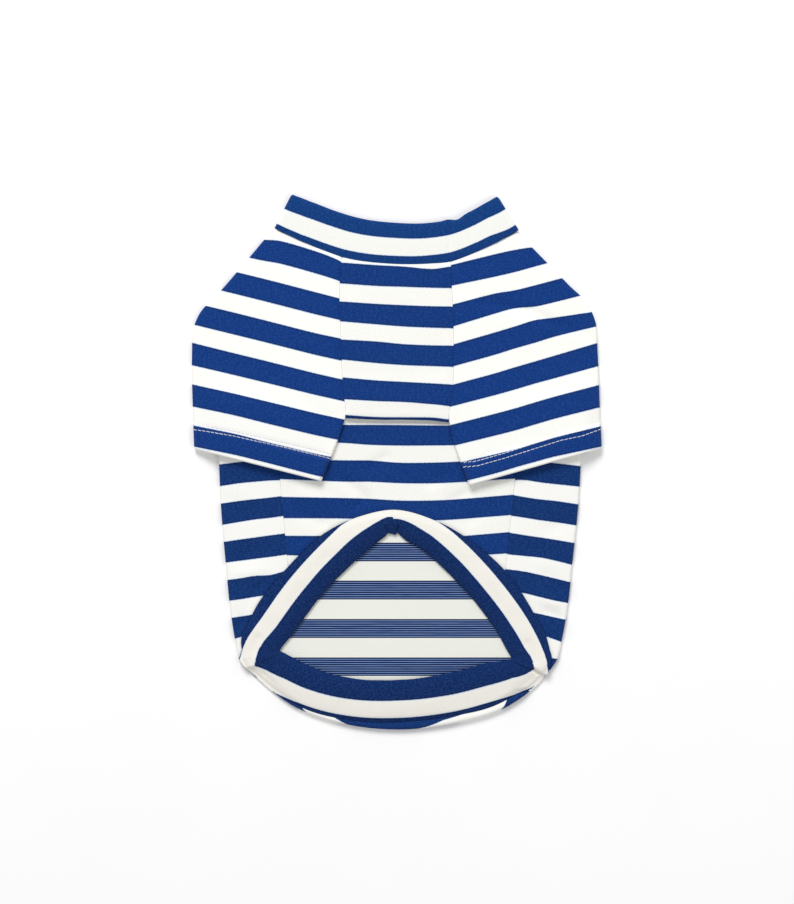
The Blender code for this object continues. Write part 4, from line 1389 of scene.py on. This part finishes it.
wrongSide = wrongSideJersey("cottonJerseyWrongSide")
# one striped jersey in five copies whose blue and white tones differ by piece to stand in for the light each
# piece catches: the hem band's darker blue and white, the back panel's darker blue and the collar's darker
# white are painted shade, and the sleeves' brighter white is painted light
shadedJerseyCopies = {
    "collar": stripedJersey("stripedJerseyCollar", "043674", "042D66", "F2F2EB"),
    "belly": stripedJersey("stripedJerseyBelly", "053275", "04285E", "F5F4EE"),
    "back": stripedJersey("stripedJerseyBack", "042D68", "032356", "F7F6F1"),
    "sleeve": stripedJersey("stripedJerseySleeve", "053379", "042962", "FAF9F3"),
    "hem": stripedJersey("stripedJerseyHem", "022459", "021B49", "F0EDE4"),
}
# bright spun polyester thread with a slight gloss and its own twist
thread = mottled("spunPolyesterThread", 0.5, 0.1, 0.6, [(0.3, "C9CCE0"), (0.7, "F4F4FA")])

pieces = [
    (neck, "neck_band", "collar_knit", "collar"),
    (back, "back_panel", "back_knit", "back"),
    (belly, "belly_panel", "belly_knit", "belly"),
    (leftSleeve, "sleeve_left", "sleeve_left_knit", "sleeve"),
    (rightSleeve, "sleeve_right", "sleeve_right_knit", "sleeve"),
    (hem, "hem_band", "hem_knit", "hem"),
]
for piece, node, slot, shadedCopy in pieces:
    piece.data.materials[0] = shadedJerseyCopies[shadedCopy]
    if len(piece.data.materials) > 1:
        piece.data.materials[1] = wrongSide
    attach(piece, "root")
    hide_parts(node)
for piece, slot in ((leftStitches, "sleeve_left_knit"), (rightStitches, "sleeve_right_knit")):
    piece.data.materials.clear()
    piece.data.materials.append(thread)
    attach(piece, "root")
print("jersey and thread finishes set")

# a white paper floor, soft light and the camera straight above
studio = {
    "floorSize": 6.0,
    "floorLevel": -0.0002,
    "ambient": 0.50,
    "keyPlace": (-0.5, 1.8, 1.9),
    "keySize": 1.2,
    "keyEnergy": 48.0,
    "fillPlace": (1.4, -0.8, 2.0),
    "fillEnergy": 8.0,
    "cameraHeight": 1.561,
    "lens": 100.0,
    "aim": (0.0003, 0.0068),
}
bpy.ops.object.select_all(action="DESELECT")
bpy.ops.mesh.primitive_plane_add(size=studio["floorSize"], location=(0, 0, studio["floorLevel"]))
floor = bpy.context.object
floor.name = "studioFloor"
bpy.ops.object.transform_apply(location=True, rotation=True, scale=True)
floor.data.materials.append(mottled("whitePaperFloor", 0.95, 0.0, 90, [(0.0, "FCFCFC"), (1.0, "FFFFFF")]))

world = bpy.context.scene.world or bpy.data.worlds.new("softStudio")
bpy.context.scene.world = world
world.use_nodes = True
world.node_tree.nodes["Background"].inputs["Color"].default_value = (1, 1, 1, 1)
world.node_tree.nodes["Background"].inputs["Strength"].default_value = studio["ambient"]


def softLight(name, place, energy):
    light = bpy.data.lights.new(name, "AREA")
    light.shape = "DISK"
    light.size = studio["keySize"]
    light.energy = energy
    lamp = bpy.data.objects.new(name, light)
    lamp.location = place
    lamp.rotation_euler = (Vector((0, 0, 0)) - Vector(place)).to_track_quat("-Z", "Y").to_euler()
    bpy.context.scene.collection.objects.link(lamp)


softLight("keyLight", studio["keyPlace"], studio["keyEnergy"])
softLight("fillLight", studio["fillPlace"], studio["fillEnergy"])
bpy.context.scene.view_settings.view_transform = "Standard"

lens = bpy.data.cameras.new("topCamera")
lens.lens = studio["lens"]
lens.sensor_width = 36
lens.clip_start = 0.01
camera = bpy.data.objects.new("topCamera", lens)
camera.location = (studio["aim"][0], studio["aim"][1], studio["cameraHeight"])
bpy.context.scene.collection.objects.link(camera)
bpy.context.scene.camera = camera
print("floor, light and camera set")
